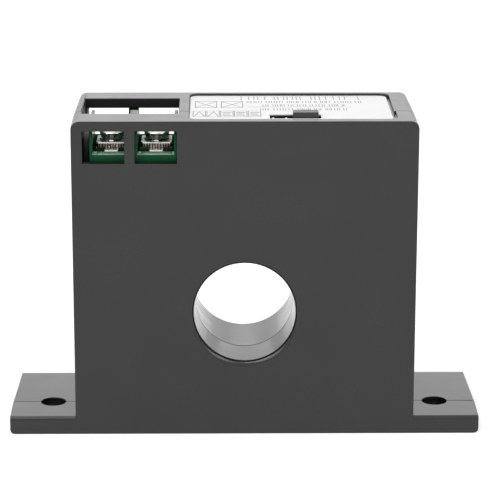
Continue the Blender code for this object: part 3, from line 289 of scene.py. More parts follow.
board = {"tracksPerMetre": 260, "trackWidth": 0.09, "trackLength": 1.9, "trackPitch": 0.55,
         "trackShift": 0.35, "trackSqueeze": 0.7, "trackHeight": 0.035 * mm,
         "mask": (0.010, 0.085, 0.030), "maskLight": (0.015, 0.115, 0.042),
         "track": (0.022, 0.17, 0.062), "trackLight": (0.03, 0.20, 0.08),
         "clouds": 220, "roughness": (0.24, 0.36)}


def solderMask():
    # Green mask over laminate; fine straight tracks stand a little proud and lighter
    material, tree, shader = newMaterial("solderMask")
    place = objectPlace(tree)
    tracks = addNode(tree, "TexBrick",
                     {"Scale": board["tracksPerMetre"], "Mortar Size": board["trackWidth"],
                      "Brick Width": board["trackLength"], "Row Height": board["trackPitch"],
                      "Color1": (0, 0, 0, 1), "Color2": (0, 0, 0, 1), "Mortar": (1, 1, 1, 1)},
                     offset=board["trackShift"], squash=board["trackSqueeze"])
    tree.links.new(place, tracks.inputs["Vector"])
    clouds = noise(tree, place, board["clouds"])
    plain = clouded(tree, clouds, board["mask"], board["maskLight"])
    copper = clouded(tree, clouds, board["track"], board["trackLight"])
    tree.links.new(mixed(tree, tracks.outputs["Color"], plain, copper), shader.inputs["Base Color"])
    tree.links.new(ranged(tree, clouds, *board["roughness"]), shader.inputs["Roughness"])
    bumps(tree, shader, tracks.outputs["Color"], board["trackHeight"])
    return material


finishes["solderMask"] = solderMask()

core = {"tapesPerMetre": 900, "waviness": 0.4, "dark": (0.16, 0.17, 0.20),
        "light": (0.34, 0.35, 0.38), "clouds": 200, "roughness": (0.34, 0.5),
        "tapeDepth": 0.03 * mm}


def tapeWoundCore():
    # Silicon steel tape: rings on the end faces, a bluish grey oxide all over
    material, tree, shader = newMaterial("tapeWoundCore")
    place = objectPlace(tree, shift=tuple(-middleOf("toroid_core")))
    rings = addNode(tree, "TexWave", {"Scale": core["tapesPerMetre"],
                                      "Distortion": core["waviness"], "Detail": 1.0},
                    wave_type="RINGS", rings_direction="Y")
    tree.links.new(place, rings.inputs["Vector"])
    tapes = rings.outputs["Fac"]
    tree.links.new(clouded(tree, tapes, core["dark"], core["light"], start=0, end=1),
                   shader.inputs["Base Color"])
    gloss = ranged(tree, noise(tree, place, core["clouds"]), *core["roughness"])
    tree.links.new(gloss, shader.inputs["Roughness"])
    bumps(tree, shader, tapes, core["tapeDepth"])
    shader.inputs["Metallic"].default_value = 1.0
    return material


finishes["tapeWoundCore"] = tapeWoundCore()

sleeve = {"stripeHalfAngle": math.radians(24), "dashesPerMetre": 420, "dashShare": 0.3,
          "dark": (0.012, 0.022, 0.085), "light": (0.02, 0.034, 0.12),
          "stripe": (0.42, 0.46, 0.56), "stripeLight": (0.5, 0.54, 0.62),
          "clouds": 300, "roughness": (0.22, 0.36), "wrinkles": 700, "depth": 0.01 * mm}


def sleeveWithStripe():
    # The capacitor's shrunk sleeve: dark blue, with the paler stripe that marks one lead
    material, tree, shader = newMaterial("capacitorSleeve")
    place = objectPlace(tree, shift=tuple(-middleOf("smoothing_capacitor")))
    axis = addNode(tree, "SeparateXYZ")
    tree.links.new(place, axis.inputs["Vector"])
    angle = maths(tree, "ARCTAN2", axis.outputs["Y"], axis.outputs["X"])
    stripe = maths(tree, "LESS_THAN", maths(tree, "ABSOLUTE", angle), sleeve["stripeHalfAngle"])
    height = maths(tree, "MULTIPLY", axis.outputs["Z"], sleeve["dashesPerMetre"])
    dashes = maths(tree, "GREATER_THAN", maths(tree, "FRACT", height), sleeve["dashShare"])
    clouds = noise(tree, place, sleeve["clouds"])
    plain = clouded(tree, clouds, sleeve["dark"], sleeve["light"])
    pale = clouded(tree, clouds, sleeve["stripe"], sleeve["stripeLight"])
    tree.links.new(mixed(tree, maths(tree, "MULTIPLY", stripe, dashes), plain, pale),
                   shader.inputs["Base Color"])
    tree.links.new(ranged(tree, clouds, *sleeve["roughness"]), shader.inputs["Roughness"])
    bumps(tree, shader, noise(tree, place, sleeve["wrinkles"]), sleeve["depth"])
    return material


finishes["capacitorSleeve"] = sleeveWithStripe()
print("finishes mixed,", len(finishes))


# Mesh helpers

softening = {"weld": 0.01 * mm, "flatTo": math.radians(0.5), "sharpFrom": math.radians(35)}


def sharpEdges(bm, wanted):
    return [edge for edge in bm.edges if edge.is_manifold
            and edge.calc_face_angle(0) > softening["sharpFrom"] and wanted(edge)]


def roundOff(bm, edges, width, segments=2):
    bmesh.ops.bevel(bm, geom=edges, offset=width, offset_type="OFFSET", affect="EDGES",
                    segments=segments, profile=0.5, material=-1, clamp_overlap=False)


def softened(nodeName, rounds):
    # A copy of a CAD solid whose crisp edges get the small radii of the real moulding or stamping
    bm = bmesh.new()
    bm.from_mesh(nodes[nodeName].data)
    bmesh.ops.remove_doubles(bm, verts=bm.verts, dist=softening["weld"])
    bmesh.ops.join_triangles(bm, faces=bm.faces, angle_face_threshold=softening["flatTo"],
                             angle_shape_threshold=math.pi)
    for width, wanted in rounds:
        roundOff(bm, sharpEdges(bm, wanted), width)
    low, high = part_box(nodeName)
    for vert in bm.verts:  # nothing stands past the solid
        vert.co = [min(max(value, least), most) for value, least, most in zip(vert.co, low, high)]
    return bm


def everyEdge(edge):
    return True


def asObject(name, bm):
    mesh = bpy.data.meshes.new(name)
    bm.to_mesh(mesh)
    bm.free()
    made = bpy.data.objects.new(name, mesh)
    bpy.context.scene.collection.objects.link(made)
    return made


def finishPiece(name, bm, finishNames, body, replaced=(), smoothTo=40):
    piece = asObject(name, bm)
    for finishName in finishNames:
        piece.data.materials.append(finishes[finishName])
    piece.data.shade_smooth()
    piece.data.set_sharp_from_angle(angle=math.radians(smoothTo))
    weighted = piece.modifiers.new("Flat faces", "WEIGHTED_NORMAL")
    weighted.keep_sharp = True
    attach(piece, body)
    if replaced:
        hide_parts(*replaced)
    return piece


def turned(profile, steps):
    # Spins (radius, height) points about Z
    bm = bmesh.new()
    verts = [bm.verts.new((radius, 0, height)) for radius, height in profile]
    edges = [bm.edges.new(pair) for pair in zip(verts, verts[1:])]
    bmesh.ops.spin(bm, geom=verts + edges, cent=(0, 0, 0), axis=(0, 0, 1), angle=math.tau,
                   steps=steps, use_merge=True)
    bmesh.ops.remove_doubles(bm, verts=bm.verts, dist=hair)
    bmesh.ops.recalc_face_normals(bm, faces=bm.faces)
    return bm


def block(bm, low, high):
    # A box between two corners; returns its vertices
    made = bmesh.ops.create_cube(bm, size=1.0)["verts"]
    low, high = Vector(low), Vector(high)
    bmesh.ops.scale(bm, vec=high - low, verts=made)
    bmesh.ops.translate(bm, vec=(low + high) / 2, verts=made)
    return made


def evaluated(holder):
    # An object's shape with its modifiers or its bevel in it
    bpy.context.view_layer.update()
    depsgraph = bpy.context.evaluated_depsgraph_get()
    mesh = bpy.data.meshes.new_from_object(holder.evaluated_get(depsgraph))
    bm = bmesh.new()
    bm.from_mesh(mesh)
    bpy.data.meshes.remove(mesh)
    return bm


def carved(bm, tool, operation="DIFFERENCE"):
    # Cuts or joins two bmeshes and gives back a new one
    body, cutter = asObject("carvedBody", bm), asObject("carvingTool", tool)
    change = body.modifiers.new("Carve", "BOOLEAN")
    change.operation = operation
    change.solver = "EXACT"
    change.object = cutter
    result = evaluated(body)
    for leftover in (body, cutter):
        mesh = leftover.data
        bpy.data.objects.remove(leftover)
        bpy.data.meshes.remove(mesh)
    return result


def moveInto(bm, other):
    # Puts another bmesh's faces beside the first one's, without joining them
    mesh = bpy.data.meshes.new("moved")
    other.to_mesh(mesh)
    other.free()
    bm.from_mesh(mesh)
    bpy.data.meshes.remove(mesh)


# Housing halves

housing = {"edgeRound": 0.15 * mm, "seamRound": 0.09 * mm, "boreSeamRound": 0.14 * mm,
           "boreReach": 10.2 * mm, "seamGap": 0.1 * mm, "seamReach": 0.08 * mm,
           "bodyHalf": 33.8 * mm, "skin": 0.8 * mm, "tubeRadius": 11.4 * mm,
           "mouthDepth": 0.35 * mm}
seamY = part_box("front_shell")[1].y + housing["seamGap"] / 2
boreZ = (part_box("toroid_core")[0].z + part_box("toroid_core")[1].z) / 2


def onSeam(edge):
    return all(abs(vert.co.y - seamY) < housing["seamReach"] for vert in edge.verts)


def offSeam(edge):
    return not onSeam(edge)


def onBoreSeam(edge):
    return onSeam(edge) and all(math.hypot(vert.co.x, vert.co.z - boreZ) < housing["boreReach"]
                                for vert in edge.verts)


housingRounds = [(housing["edgeRound"], offSeam), (housing["boreSeamRound"], onBoreSeam),
                 (housing["seamRound"], onSeam)]


def shellHalf(nodeName):
    # Finish 0 is the skin, 1 the matt inside, painted a little darker than the skin as painted
    # shade, 2 the bore behind its mouth, glossy from the core pin
    depth, top = cadBounds[1][1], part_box(nodeName)[1].z
    bm = softened(nodeName, housingRounds)
    for face in bm.faces:
        place = face.calc_center_median()
        inward = depth - abs(place.y)
        inset = min(housing["bodyHalf"] - abs(place.x), inward, place.z, top - place.z)
        if math.hypot(place.x, place.z - boreZ) < housing["tubeRadius"]:
            face.material_index = 2 if inward > housing["mouthDepth"] else 0
        elif inset > housing["skin"]:
            face.material_index = 1
    return bm


for nodeName, pieceName in (("front_shell", "front_housing"), ("rear_shell", "rear_housing")):
    finishPiece(pieceName, shellHalf(nodeName), ["housingPlastic", "insidePaintedShade", "boreGloss"],
                "root", [nodeName], smoothTo=50)
print("housing softened")


# Label and its generic print; places and lengths on it are in millimetres

# Boxes are (left, front, right, back), rows (left, front, right, height, pitch of the strokes)
# and the rule (left, front, right)
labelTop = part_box("label_plate")[1].z
labelPrint = {"inkThickness": 0.02 * mm, "lineWidth": 0.16, "seed": 7,
              "crossedBoxes": ((-9.8, 0.6, -5.4, 6.6), (-4.6, 0.6, -0.2, 6.6)),
              "rows": ((-0.6, 8.2, 24.0, 3.1, 1.15), (0.6, 5.2, 23.7, 1.6, 0.5),
                       (3.7, 1.9, 20.4, 1.7, 0.5), (3.2, -1.9, 20.3, 1.7, 0.5)),
              "strokesTogether": (3, 7), "strokeSpread": (0.6, 1.4), "rule": (0.6, 1.2, 21.4)}
labelCells = {"left": -10.2, "front": -7.8, "pitch": 2.72, "gap": 0.12, "height": 5.4,
              "count": 5, "peaks": 2, "peakLeft": 0.3, "peakRight": 0.4, "peakFoot": 0.4,
              "peakTop": 0.6, "dashes": 3, "dashLeft": 0.45, "dashRight": 0.5,
              "dashShorter": 0.3, "dashFront": 1.1, "dashPitch": 1.3, "dashHeight": 0.4}


def bar(bm, x1, y1, x2, y2):
    block(bm, (x1 * mm, y1 * mm, labelTop),
          (x2 * mm, y2 * mm, labelTop + labelPrint["inkThickness"]))


def slantedBar(bm, x1, y1, x2, y2):
    halfLength = math.hypot(x2 - x1, y2 - y1) * mm / 2
    halfWidth = labelPrint["lineWidth"] * mm / 2
    verts = block(bm, (-halfLength, -halfWidth, 0),
                  (halfLength, halfWidth, labelPrint["inkThickness"]))
    bmesh.ops.rotate(bm, cent=(0, 0, 0), verts=verts,
                     matrix=Matrix.Rotation(math.atan2(y2 - y1, x2 - x1), 3, "Z"))
    bmesh.ops.translate(bm, vec=((x1 + x2) / 2 * mm, (y1 + y2) / 2 * mm, labelTop), verts=verts)


def frameOf(bm, x1, y1, x2, y2):
    w = labelPrint["lineWidth"]
    for box in ((x1, y1, x2, y1 + w), (x1, y2 - w, x2, y2),
                (x1, y1 + w, x1 + w, y2 - w), (x2 - w, y1 + w, x2, y2 - w)):
        bar(bm, *box)


def printCells(bm):
    # A row of framed cells: the first ones hold a peaked line, the others short dashes
    cell = labelCells
    front, back = cell["front"], cell["front"] + cell["height"]
    for i in range(cell["count"]):
        left = cell["left"] + i * cell["pitch"]
        middle, right = left + cell["pitch"] / 2, left + cell["pitch"]
        frameOf(bm, left, front, right - cell["gap"], back)
        if i < cell["peaks"]:
            foot, top = front + cell["peakFoot"], back - cell["peakTop"]
            slantedBar(bm, left + cell["peakLeft"], foot, middle, top)
            slantedBar(bm, middle, top, right - cell["peakRight"], foot)
            continue
        for k in range(cell["dashes"]):
            y = front + cell["dashFront"] + k * cell["dashPitch"]
            end = right - cell["dashRight"] - cell["dashShorter"] * (k % 2)
            bar(bm, left + cell["dashLeft"], y, end, y + cell["dashHeight"])


def printRow(bm, draw, left, y, right, height, pitch):
    # Groups of plain strokes where the real label has words
    x = left
    while x < right:
        for k in range(draw.randint(*labelPrint["strokesTogether"])):
            if x < right:
                bar(bm, x, y, x + labelPrint["lineWidth"], y + height)
            x += pitch * draw.uniform(*labelPrint["strokeSpread"])
        x += pitch


def printOnLabel():
    bm = bmesh.new()
    for x1, y1, x2, y2 in labelPrint["crossedBoxes"]:
        frameOf(bm, x1, y1, x2, y2)
        slantedBar(bm, x1, y1, x2, y2)
        slantedBar(bm, x1, y2, x2, y1)
    printCells(bm)
    draw = random.Random(labelPrint["seed"])
    for row in labelPrint["rows"]:
        printRow(bm, draw, *row)
    left, y, right = labelPrint["rule"]
    bar(bm, left, y, right, y + labelPrint["lineWidth"])
    return bm


finishPiece("label_print", printOnLabel(), ["labelInk"], "root", smoothTo=20)
print("label printed")


# Terminal block

terminal = {"edgeRound": 0.12 * mm, "lipHeight": 6.4 * mm, "lipDepth": 3.0 * mm,
            "lipFall": 0.1 * mm, "lipReach": 0.18 * mm, "facingUp": 0.3}


def terminalBlock():
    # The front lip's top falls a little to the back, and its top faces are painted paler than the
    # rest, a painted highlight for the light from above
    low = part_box("terminal_body")[0]
    lipTop, lipBack = low.z + terminal["lipHeight"], low.y + terminal["lipDepth"]
    near = terminal["lipReach"]
    bm = softened("terminal_body", [(terminal["edgeRound"], everyEdge)])
    for vert in bm.verts:
        if abs(vert.co.y - lipBack) < near and abs(vert.co.z - lipTop) < near:
            vert.co.z -= terminal["lipFall"]
    bm.normal_update()
    for face in bm.faces:
        # Upward faces at the lip's top take the painted highlight
        upward = face.normal.z > terminal["facingUp"]
        onLip = upward and abs(face.calc_center_median().z - lipTop) < near
        face.material_index = 1 if onLip else 0
    return bm


finishPiece("terminal_block", terminalBlock(), ["terminalPlastic", "paintedHighlightLip"], "root",
            ["terminal_body"])

washerLook = {"cornerRound": 0.4 * mm, "cornerSegments": 3, "edgeRound": 0.08 * mm,
              "notches": 10, "notchWidth": 0.22 * mm, "notchDepth": 0.3 * mm,
              "brightRim": 0.3 * mm, "holeRadius": 1.6 * mm, "springGap": 0.2 * mm,
              "dishGap": 0.05 * mm, "toothFace": 0.01 * mm, "facing": 0.5,
              "splitRound": 0.05 * mm}
stripLook = {"tabHalf": 1.4 * mm, "tabRound": 0.55 * mm, "edgeRound": 0.06 * mm, "facing": 0.5}
screwLook = {"headAngles": {"left": 18, "right": 45}, "seatGap": 0.05 * mm, "crown": 0.62 * mm,
             "crownSteps": 5, "crownPower": 0.8, "taper": 0.36 * mm, "pitch": 0.5 * mm,
             "crest": 1.45 * mm, "threadDepth": 0.26 * mm, "tip": 0.3 * mm,
             "threadStart": 0.4 * mm, "threadEnd": 0.35 * mm, "threadSink": 0.03 * mm,
             "threadHalf": 0.42, "steps": 40, "threadSteps": 24, "recessDepth": 1.0 * mm,
             "recessReach": 1.45 * mm, "recessWidth": 0.62 * mm, "recessTaper": 0.6}


def toothedWasher(side):
    # Plate with a toothed underside, and a dish that holds the split washer
    low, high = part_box("square_washer_" + side)
    springLow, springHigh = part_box("spring_washer_" + side)
    middle = (low + high) / 2
    bm = bmesh.new()
    block(bm, low, high)
    upright = [edge for edge in bm.edges if abs(edge.verts[0].co.z - edge.verts[1].co.z) > hair]
    roundOff(bm, upright, washerLook["cornerRound"], washerLook["cornerSegments"])
    upper = [edge for edge in bm.edges if all(vert.co.z > high.z - hair for vert in edge.verts)]
    roundOff(bm, upper, washerLook["edgeRound"])
    rimZ = high.z - washerLook["brightRim"]
    bmesh.ops.bisect_plane(bm, geom=bm.verts[:] + bm.edges[:] + bm.faces[:], dist=hair,
                           plane_co=(0, 0, rimZ), plane_no=(0, 0, 1))
    notches = bmesh.new()
    half, depth = washerLook["notchWidth"] / 2, washerLook["notchDepth"]
    step = (high.x - low.x - 2 * washerLook["cornerRound"]) / washerLook["notches"]
    for i in range(washerLook["notches"]):
        x = low.x + washerLook["cornerRound"] + step * (i + 0.5)
        for y in (low.y, high.y):
            block(notches, (x - half, y - depth, low.z - depth), (x + half, y + depth, rimZ))
    bm = carved(bm, notches)
    dishFloor = springLow.z - washerLook["dishGap"]
    dishRadius = (springHigh.x - springLow.x) / 2 + washerLook["springGap"]
    past = high.z - low.z
    hole = turned([(0, low.z - past), (washerLook["holeRadius"], low.z - past),
                   (washerLook["holeRadius"], dishFloor), (dishRadius, dishFloor),
                   (dishRadius, high.z + past), (0, high.z + past)], screwLook["steps"])
    bmesh.ops.translate(hole, vec=(middle.x, middle.y, 0), verts=hole.verts)
    bm = carved(bm, hole)
    bm.normal_update()
    # Below the top band the side faces are painted shade: the front and back faces a dark brownish
    # tin, the notch walls, ends and corners near black
    for face in bm.faces:
        place = face.calc_center_median()
        if place.z < rimZ and abs(face.normal.z) < washerLook["facing"]:
            fromFace = min(abs(place.y - low.y), abs(place.y - high.y))
            face.material_index = 2 if fromFace < washerLook["toothFace"] else 1
    return bm


def contactStrip(side):
    # The tab's front is rounded over and bright; the bar's front faces beside it are tinted green
    low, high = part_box("contact_strip_" + side)
    edgeRound = stripLook["edgeRound"]

    def onTabFront(edge):
        return all(vert.co.y < low.y + edgeRound and vert.co.z > high.z - edgeRound
                   for vert in edge.verts)

    bm = softened("contact_strip_" + side, [(stripLook["tabRound"], onTabFront),
                                            (edgeRound, everyEdge)])
    bm.normal_update()
    for face in bm.faces:
        fromMiddle = abs(face.calc_center_median().x - (low.x + high.x) / 2)
        beside = face.normal.y < -stripLook["facing"] and fromMiddle > stripLook["tabHalf"]
        face.material_index = 1 if beside else 0
    return bm


def crossCutter(top, headAngle):
    # Two tapered bars that cross at the axis
    reach, half = screwLook["recessReach"], screwLook["recessWidth"] / 2
    depth, taper = screwLook["recessDepth"], screwLook["recessTaper"]
    bars = []
    for angle in (headAngle, headAngle + 90):
        tool = bmesh.new()
        for vert in block(tool, (-reach, -half, top - depth), (reach, half, top + depth)):
            if vert.co.z < top:
                vert.co.x *= taper
                vert.co.y *= taper
        bmesh.ops.rotate(tool, cent=(0, 0, 0), verts=tool.verts,
                         matrix=Matrix.Rotation(math.radians(angle), 3, "Z"))
        bars.append(tool)
    return carved(bars[0], bars[1], "UNION")


def threadRibbon(root, crest, low, high):
    # One sharp-crested rib wound up the shank
    bm = bmesh.new()
    half = screwLook["pitch"] * screwLook["threadHalf"]
    rib = [bm.verts.new(place)
           for place in ((root, 0, low - half), (crest, 0, low), (root, 0, low + half))]
    section = bm.faces.new(rib)
    turns = (high - low) / screwLook["pitch"]
    steps = round(turns * screwLook["threadSteps"])
    bmesh.ops.spin(bm, geom=[section], cent=(0, 0, 0), axis=(0, 0, 1), angle=math.tau * turns,
                   dvec=(0, 0, (high - low) / steps), steps=steps, use_merge=False)
    bmesh.ops.recalc_face_normals(bm, faces=bm.faces)
    return bm


def clampScrew(side):
    # A domed head with a crossed recess, on a shank with a wound thread
    low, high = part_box("clamp_screw_" + side)
    middle = (low + high) / 2
    headRadius = (high.x - low.x) / 2
    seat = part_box("spring_washer_" + side)[1].z + screwLook["seatGap"]
    rim = high.z - screwLook["crown"]
    crest, tip = screwLook["crest"], screwLook["tip"]
    root = crest - screwLook["threadDepth"]
    profile = [(0, low.z), (root - tip, low.z), (root, low.z + tip), (root, seat),
               (headRadius - screwLook["taper"], seat), (headRadius, rim)]
    for i in range(1, screwLook["crownSteps"]):
        a = math.radians(90) * i / screwLook["crownSteps"]
        profile.append((headRadius * math.cos(a) ** screwLook["crownPower"],
                        rim + screwLook["crown"] * math.sin(a)))
    profile.append((0, high.z))
    recess = crossCutter(high.z, screwLook["headAngles"][side])
    bm = carved(turned(profile, screwLook["steps"]), recess)
    moveInto(bm, threadRibbon(root - screwLook["threadSink"], crest,
                              low.z + screwLook["threadStart"], seat - screwLook["threadEnd"]))
    bmesh.ops.translate(bm, vec=(middle.x, middle.y, 0), verts=bm.verts)
    return bm


for side in ("left", "right"):
    finishPiece("terminal_strip_" + side, contactStrip(side), ["brightTin", "greenTintTin"],
                "root", ["contact_strip_" + side])
    finishPiece("toothed_washer_" + side, toothedWasher(side), ["tinPlate", "notchPaintedShade", "toothPaintedShade"],
                side + "_clamp", ["square_washer_" + side], smoothTo=30)
    finishPiece("split_washer_" + side,
                softened("spring_washer_" + side, [(washerLook["splitRound"], everyEdge)]),
                ["brightTin"], side + "_clamp", ["spring_washer_" + side])
    finishPiece("cross_screw_" + side, clampScrew(side), ["screwPlate"], side + "_screw",
                ["clamp_screw_" + side], smoothTo=35)
print("clamps fitted")


# Range header and jumper

jumperRound = 0.1 * mm
finishPiece("jumper_shroud", softened("jumper_cap", [(jumperRound, everyEdge)]), ["jumperPlastic"],
            "jumper", ["jumper_cap"])


# Coil

winding = {"turns": 118, "wireRadius": 0.31 * mm, "gapDegrees": 10, "wireDegrees": 0.8,
           "innerRadius": 12.3 * mm, "wrap": 0.3 * mm, "cornerRound": 0.9 * mm, "cornerSteps": 3}


def turnPath():
    # One turn's rounded rectangle about the core's section, as (distance from the axis, y)
    coreLow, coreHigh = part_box("toroid_core")
    wire, corner = winding["wireRadius"], winding["cornerRound"]
    outer = (coreHigh.z - coreLow.z) / 2 + winding["wrap"] + wire
    inner = winding["innerRadius"] + wire
    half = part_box("secondary_winding")[1].y - wire
    path = []
    for x, y, start in ((outer, half, 0), (inner, half, 90),
                        (inner, -half, 180), (outer, -half, 270)):
        cx = x - corner if start in (0, 270) else x + corner
        cy = y - corner if start in (0, 90) else y + corner
        for step in range(winding["cornerSteps"] + 1):
            a = math.radians(start + 90 / winding["cornerSteps"] * step)
            path.append((cx + corner * math.cos(a), cy + corner * math.sin(a)))
    return path


def coilTurns():
    # One turn of wire, copied about the bore's axis
    path = turnPath()
    curve = bpy.data.curves.new("oneTurn", "CURVE")
    curve.dimensions = "3D"
    curve.bevel_depth = winding["wireRadius"]
    curve.bevel_resolution = 1
    spline = curve.splines.new("POLY")
    spline.points.add(len(path) - 1)
    for point, (r, y) in zip(spline.points, path):
        point.co = (0, y, r, 1)
    spline.use_cyclic_u = True
    holder = bpy.data.objects.new("oneTurn", curve)
    bpy.context.scene.collection.objects.link(holder)
    bm = evaluated(holder)
    bpy.data.objects.remove(holder)
    bpy.data.curves.remove(curve)
    start = math.radians(winding["gapDegrees"] / 2 + winding["wireDegrees"])
    bmesh.ops.rotate(bm, cent=(0, 0, 0), matrix=Matrix.Rotation(start, 3, "Y"), verts=bm.verts)
    bmesh.ops.spin(bm, geom=bm.verts[:] + bm.edges[:] + bm.faces[:], cent=(0, 0, 0),
                   axis=(0, 1, 0), angle=math.tau - 2 * start, steps=winding["turns"] - 1,
                   use_duplicate=True)
    bmesh.ops.translate(bm, vec=(0, 0, boreZ), verts=bm.verts)
    bmesh.ops.recalc_face_normals(bm, faces=bm.faces)
    return bm


finishPiece("wire_turns", coilTurns(), ["enamelCopper"], "root",
            ["secondary_winding"], smoothTo=80)
print("coil wound")


# Parts on the board

boardBottom, boardTop = (corner.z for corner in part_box("circuit_board"))
soldering = {"noLeads": ("circuit_board", "front_shell", "rear_shell", "secondary_winding",
                         "toroid_core"),
             "tipBelow": 0.5 * mm, "leadApart": 1.6 * mm, "thinnestLead": 0.35 * mm,
             "tipDepth": 0.9 * mm, "tipInside": 0.2, "steps": 14,
             "cone": ((0.04, 0.85), (0.12, 0.5), (0.32, 0.2), (0.6, 0.04), (0.66, 0))}


def grouped(tips):
    # Points of one lead are near each other, seen from above
    groups = []
    for tip in tips:
        near = [group for group in groups
                if (group[0].xy - tip.xy).length < soldering["leadApart"]]
        if near:
            near[0].append(tip)
        else:
            groups.append([tip])
    return groups


def leadPlaces():
    # The centre and half width of each lead under the board, found from the solids
    found = []
    for name, node in nodes.items():
        if name in soldering["noLeads"]:
            continue
        places = [vert.co for vert in node.data.vertices]
        if name.startswith("lead_wire"):
            tips = [place for place in places if place.z > boardBottom]
        else:
            tips = [place for place in places if place.z < boardBottom - soldering["tipBelow"]]
        for group in grouped(tips):
            xs, ys = [tip.x for tip in group], [tip.y for tip in group]
            found.append(((min(xs) + max(xs)) / 2, (min(ys) + max(ys)) / 2,
                          (max(xs) - min(xs)) / 2))
    return found


def solderFillets():
    # A concave cone round each lead: so far out from the lead and below the board, in millimetres
    whole = bmesh.new()
    for x, y, reach in leadPlaces():
        lead = max(reach, soldering["thinnestLead"])
        inside = lead * soldering["tipInside"]
        profile = [(lead + out * mm, boardBottom - below * mm) for out, below in soldering["cone"]]
        profile = [(inside, boardBottom - soldering["tipDepth"]), *profile, (inside, boardBottom)]
        one = turned(profile + profile[:1], soldering["steps"])
        bmesh.ops.translate(one, vec=(x, y, 0), verts=one.verts)
        moveInto(whole, one)
    return whole


finishPiece("solder_joints", solderFillets(), ["solder"], "root", smoothTo=50)

dressing = {"edgeRound": 0.06 * mm, "standOff": 0.25 * mm, "rotorDepth": 0.75 * mm,
            "ringsReach": 3.15 * mm, "lacquerReach": 3.16 * mm}
ringColours = (("brown", "black", "black", "red", "brown"),
               ("red", "green", "black", "brown", "brown"),
               ("yellow", "orange", "black", "black", "brown"))
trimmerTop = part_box("trim_potentiometer")[1].z


def dressedPart(nodeName, pieceName, finishNames, choose, width=dressing["edgeRound"]):
    # A copy of a part; choose says for a place which finish its face takes
    bm = softened(nodeName, [(width, everyEdge)] if width else [])
    for face in bm.faces:
        face.material_index = choose(face.calc_center_median())
    finishPiece(pieceName, bm, finishNames, "root", [nodeName])


def bodyOrLead(place):
    return 0 if place.z > boardTop + dressing["standOff"] else 1


def trimmerFinish(place):
    return 2 if place.z > trimmerTop - dressing["rotorDepth"] else bodyOrLead(place)


for number, colours in enumerate(ringColours, 1):
    nodeName, finishName = "burden_resistor_" + str(number), "lacquer" + str(number)
    low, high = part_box(nodeName)
    middleX = (low.x + high.x) / 2
    finishes[finishName] = ringedLacquer(finishName, middleX, dressing["ringsReach"], colours)
    dressedPart(nodeName, "ringed_resistor_" + str(number), [finishName, "tinPlate"],
                lambda place: 0 if abs(place.x - middleX) < dressing["lacquerReach"] else 1,
                width=0)
for nodeName, pieceName, finishName, slot in (
        ("film_capacitor", "boxed_capacitor", "filmBox", "film_box"),
        ("bridge_rectifier", "moulded_rectifier", "epoxyBlack", "header_plastic"),
        ("smoothing_capacitor", "sleeved_capacitor", "capacitorSleeve", "capacitor_sleeve")):
    dressedPart(nodeName, pieceName, [finishName, "tinPlate"], bodyOrLead)
dressedPart("trim_potentiometer", "blue_trimmer", ["trimmerBox", "tinPlate", "springBrass"],
            trimmerFinish)
print("board dressed")


# CAD nodes that stay, with their finishes

nodeFinishes = {"label_plate": "labelFilm", "header_base": "headerPlastic",
                "header_upper_base": "headerPlastic", "jumper_clip": "springBrass",
                "circuit_board": "solderMask", "toroid_core": "tapeWoundCore",
                "lead_wire_1": "enamelCopper", "lead_wire_2": "enamelCopper"}
nodeFinishes.update({"header_pin_" + str(number): "pinPlate" for number in range(1, 5)})
for nodeName, finishName in nodeFinishes.items():
    for slot in nodes[nodeName].material_slots:
        slot.material = finishes[finishName]


# Floor, light and camera

studio = {"floorHalf": 3.0, "floorColour": (0.82, 0.82, 0.82), "floorRoughness": 0.9,
          "floorLift": 0.5, "white": (1, 1, 1, 1), "sky": 0.28, "backdrop": 1.0}


def paleFloor():
    # It glows for the camera, so it shows as white as the photo's background
    bm = bmesh.new()
    bmesh.ops.create_grid(bm, x_segments=1, y_segments=1, size=studio["floorHalf"])
    floor = asObject("studio_floor", bm)
    material, tree, shader = newMaterial("paleFloor")
    shader.inputs["Base Color"].default_value = (*studio["floorColour"], 1)
    shader.inputs["Roughness"].default_value = studio["floorRoughness"]
    shader.inputs["Emission Color"].default_value = studio["white"]
    tree.links.new(maths(tree, "MULTIPLY", seenDirectly(tree), studio["floorLift"]),
                   shader.inputs["Emission Strength"])
    floor.data.materials.append(material)


def skyLight():
    # A bright backdrop for the eye, and a dimmer one as a light
    world = bpy.data.worlds.new("studio")
    bpy.context.scene.world = world
    world.use_nodes = True
    tree = world.node_tree
    background = tree.nodes["Background"]
    background.inputs["Color"].default_value = studio["white"]
    strength = ranged(tree, seenDirectly(tree), studio["sky"], studio["backdrop"], start=0, end=1)
    tree.links.new(strength, background.inputs["Strength"])


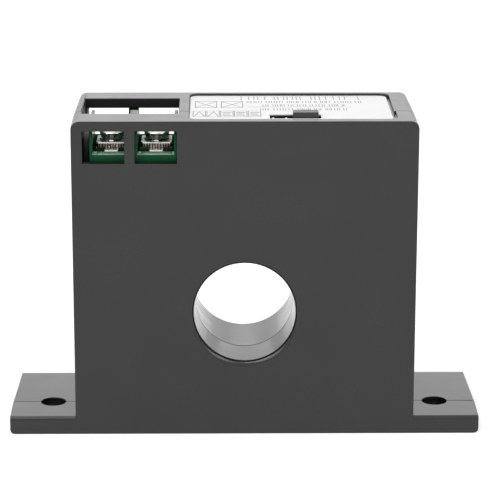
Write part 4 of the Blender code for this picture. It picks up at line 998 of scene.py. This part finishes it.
def softbox(name, place, target, size, watts):
    lamp = bpy.data.lights.new(name, "AREA")
    lamp.shape = "RECTANGLE"
    lamp.size, lamp.size_y = size
    lamp.energy = watts
    holder = bpy.data.objects.new(name, lamp)
    bpy.context.scene.collection.objects.link(holder)
    holder.location = place
    holder.rotation_euler = (Vector(target) - Vector(place)).to_track_quat("-Z", "Y").to_euler()


lamps = {"key_light": {"place": (-0.3, -0.25, 1.1), "target": (0, 0, 0.03),
                       "size": (0.7, 0.7), "watts": 3.3},
         "left_light": {"place": (-0.75, -0.65, 0.95), "target": (0, 0, 0.03),
                        "size": (0.8, 0.8), "watts": 5.4},
         "right_light": {"place": (0.75, -0.65, 0.95), "target": (0, 0, 0.03),
                         "size": (0.8, 0.8), "watts": 5.4},
         "back_light": {"place": (0, 0.9, 0.55), "target": (0, 0, 0.05),
                        "size": (1.2, 0.7), "watts": 1.7}}
paleFloor()
skyLight()
for name, lamp in lamps.items():
    softbox(name, **lamp)

# Fitted to edges in the photo: metres and degrees, and millimetres for the lens and the sensor
view = {"place": (-0.00558, -0.44518, 0.15944), "down": 15.547, "right": 0.718, "tilt": 0.085,
        "lens": 168.62, "sensor": 36, "nearest": 0.01}


def photoCamera():
    down, turn, tilt = (math.radians(view[key]) for key in ("down", "right", "tilt"))
    ahead = Vector((math.sin(turn) * math.cos(down), math.cos(turn) * math.cos(down),
                    -math.sin(down)))
    level = Vector((math.cos(turn), -math.sin(turn), 0))
    right = Matrix.Rotation(-tilt, 3, ahead) @ level
    up = right.cross(ahead)
    camera = bpy.data.cameras.new("photo_camera")
    camera.lens = view["lens"]
    camera.sensor_width = view["sensor"]
    camera.clip_start = view["nearest"]
    holder = bpy.data.objects.new("photo_camera", camera)
    bpy.context.scene.collection.objects.link(holder)
    turnMatrix = Matrix((right, up, -ahead)).transposed()
    holder.matrix_world = Matrix.Translation(view["place"]) @ turnMatrix.to_4x4()
    bpy.context.scene.camera = holder


photoCamera()
bpy.context.scene.view_settings.view_transform = "Standard"
print("studio lit")
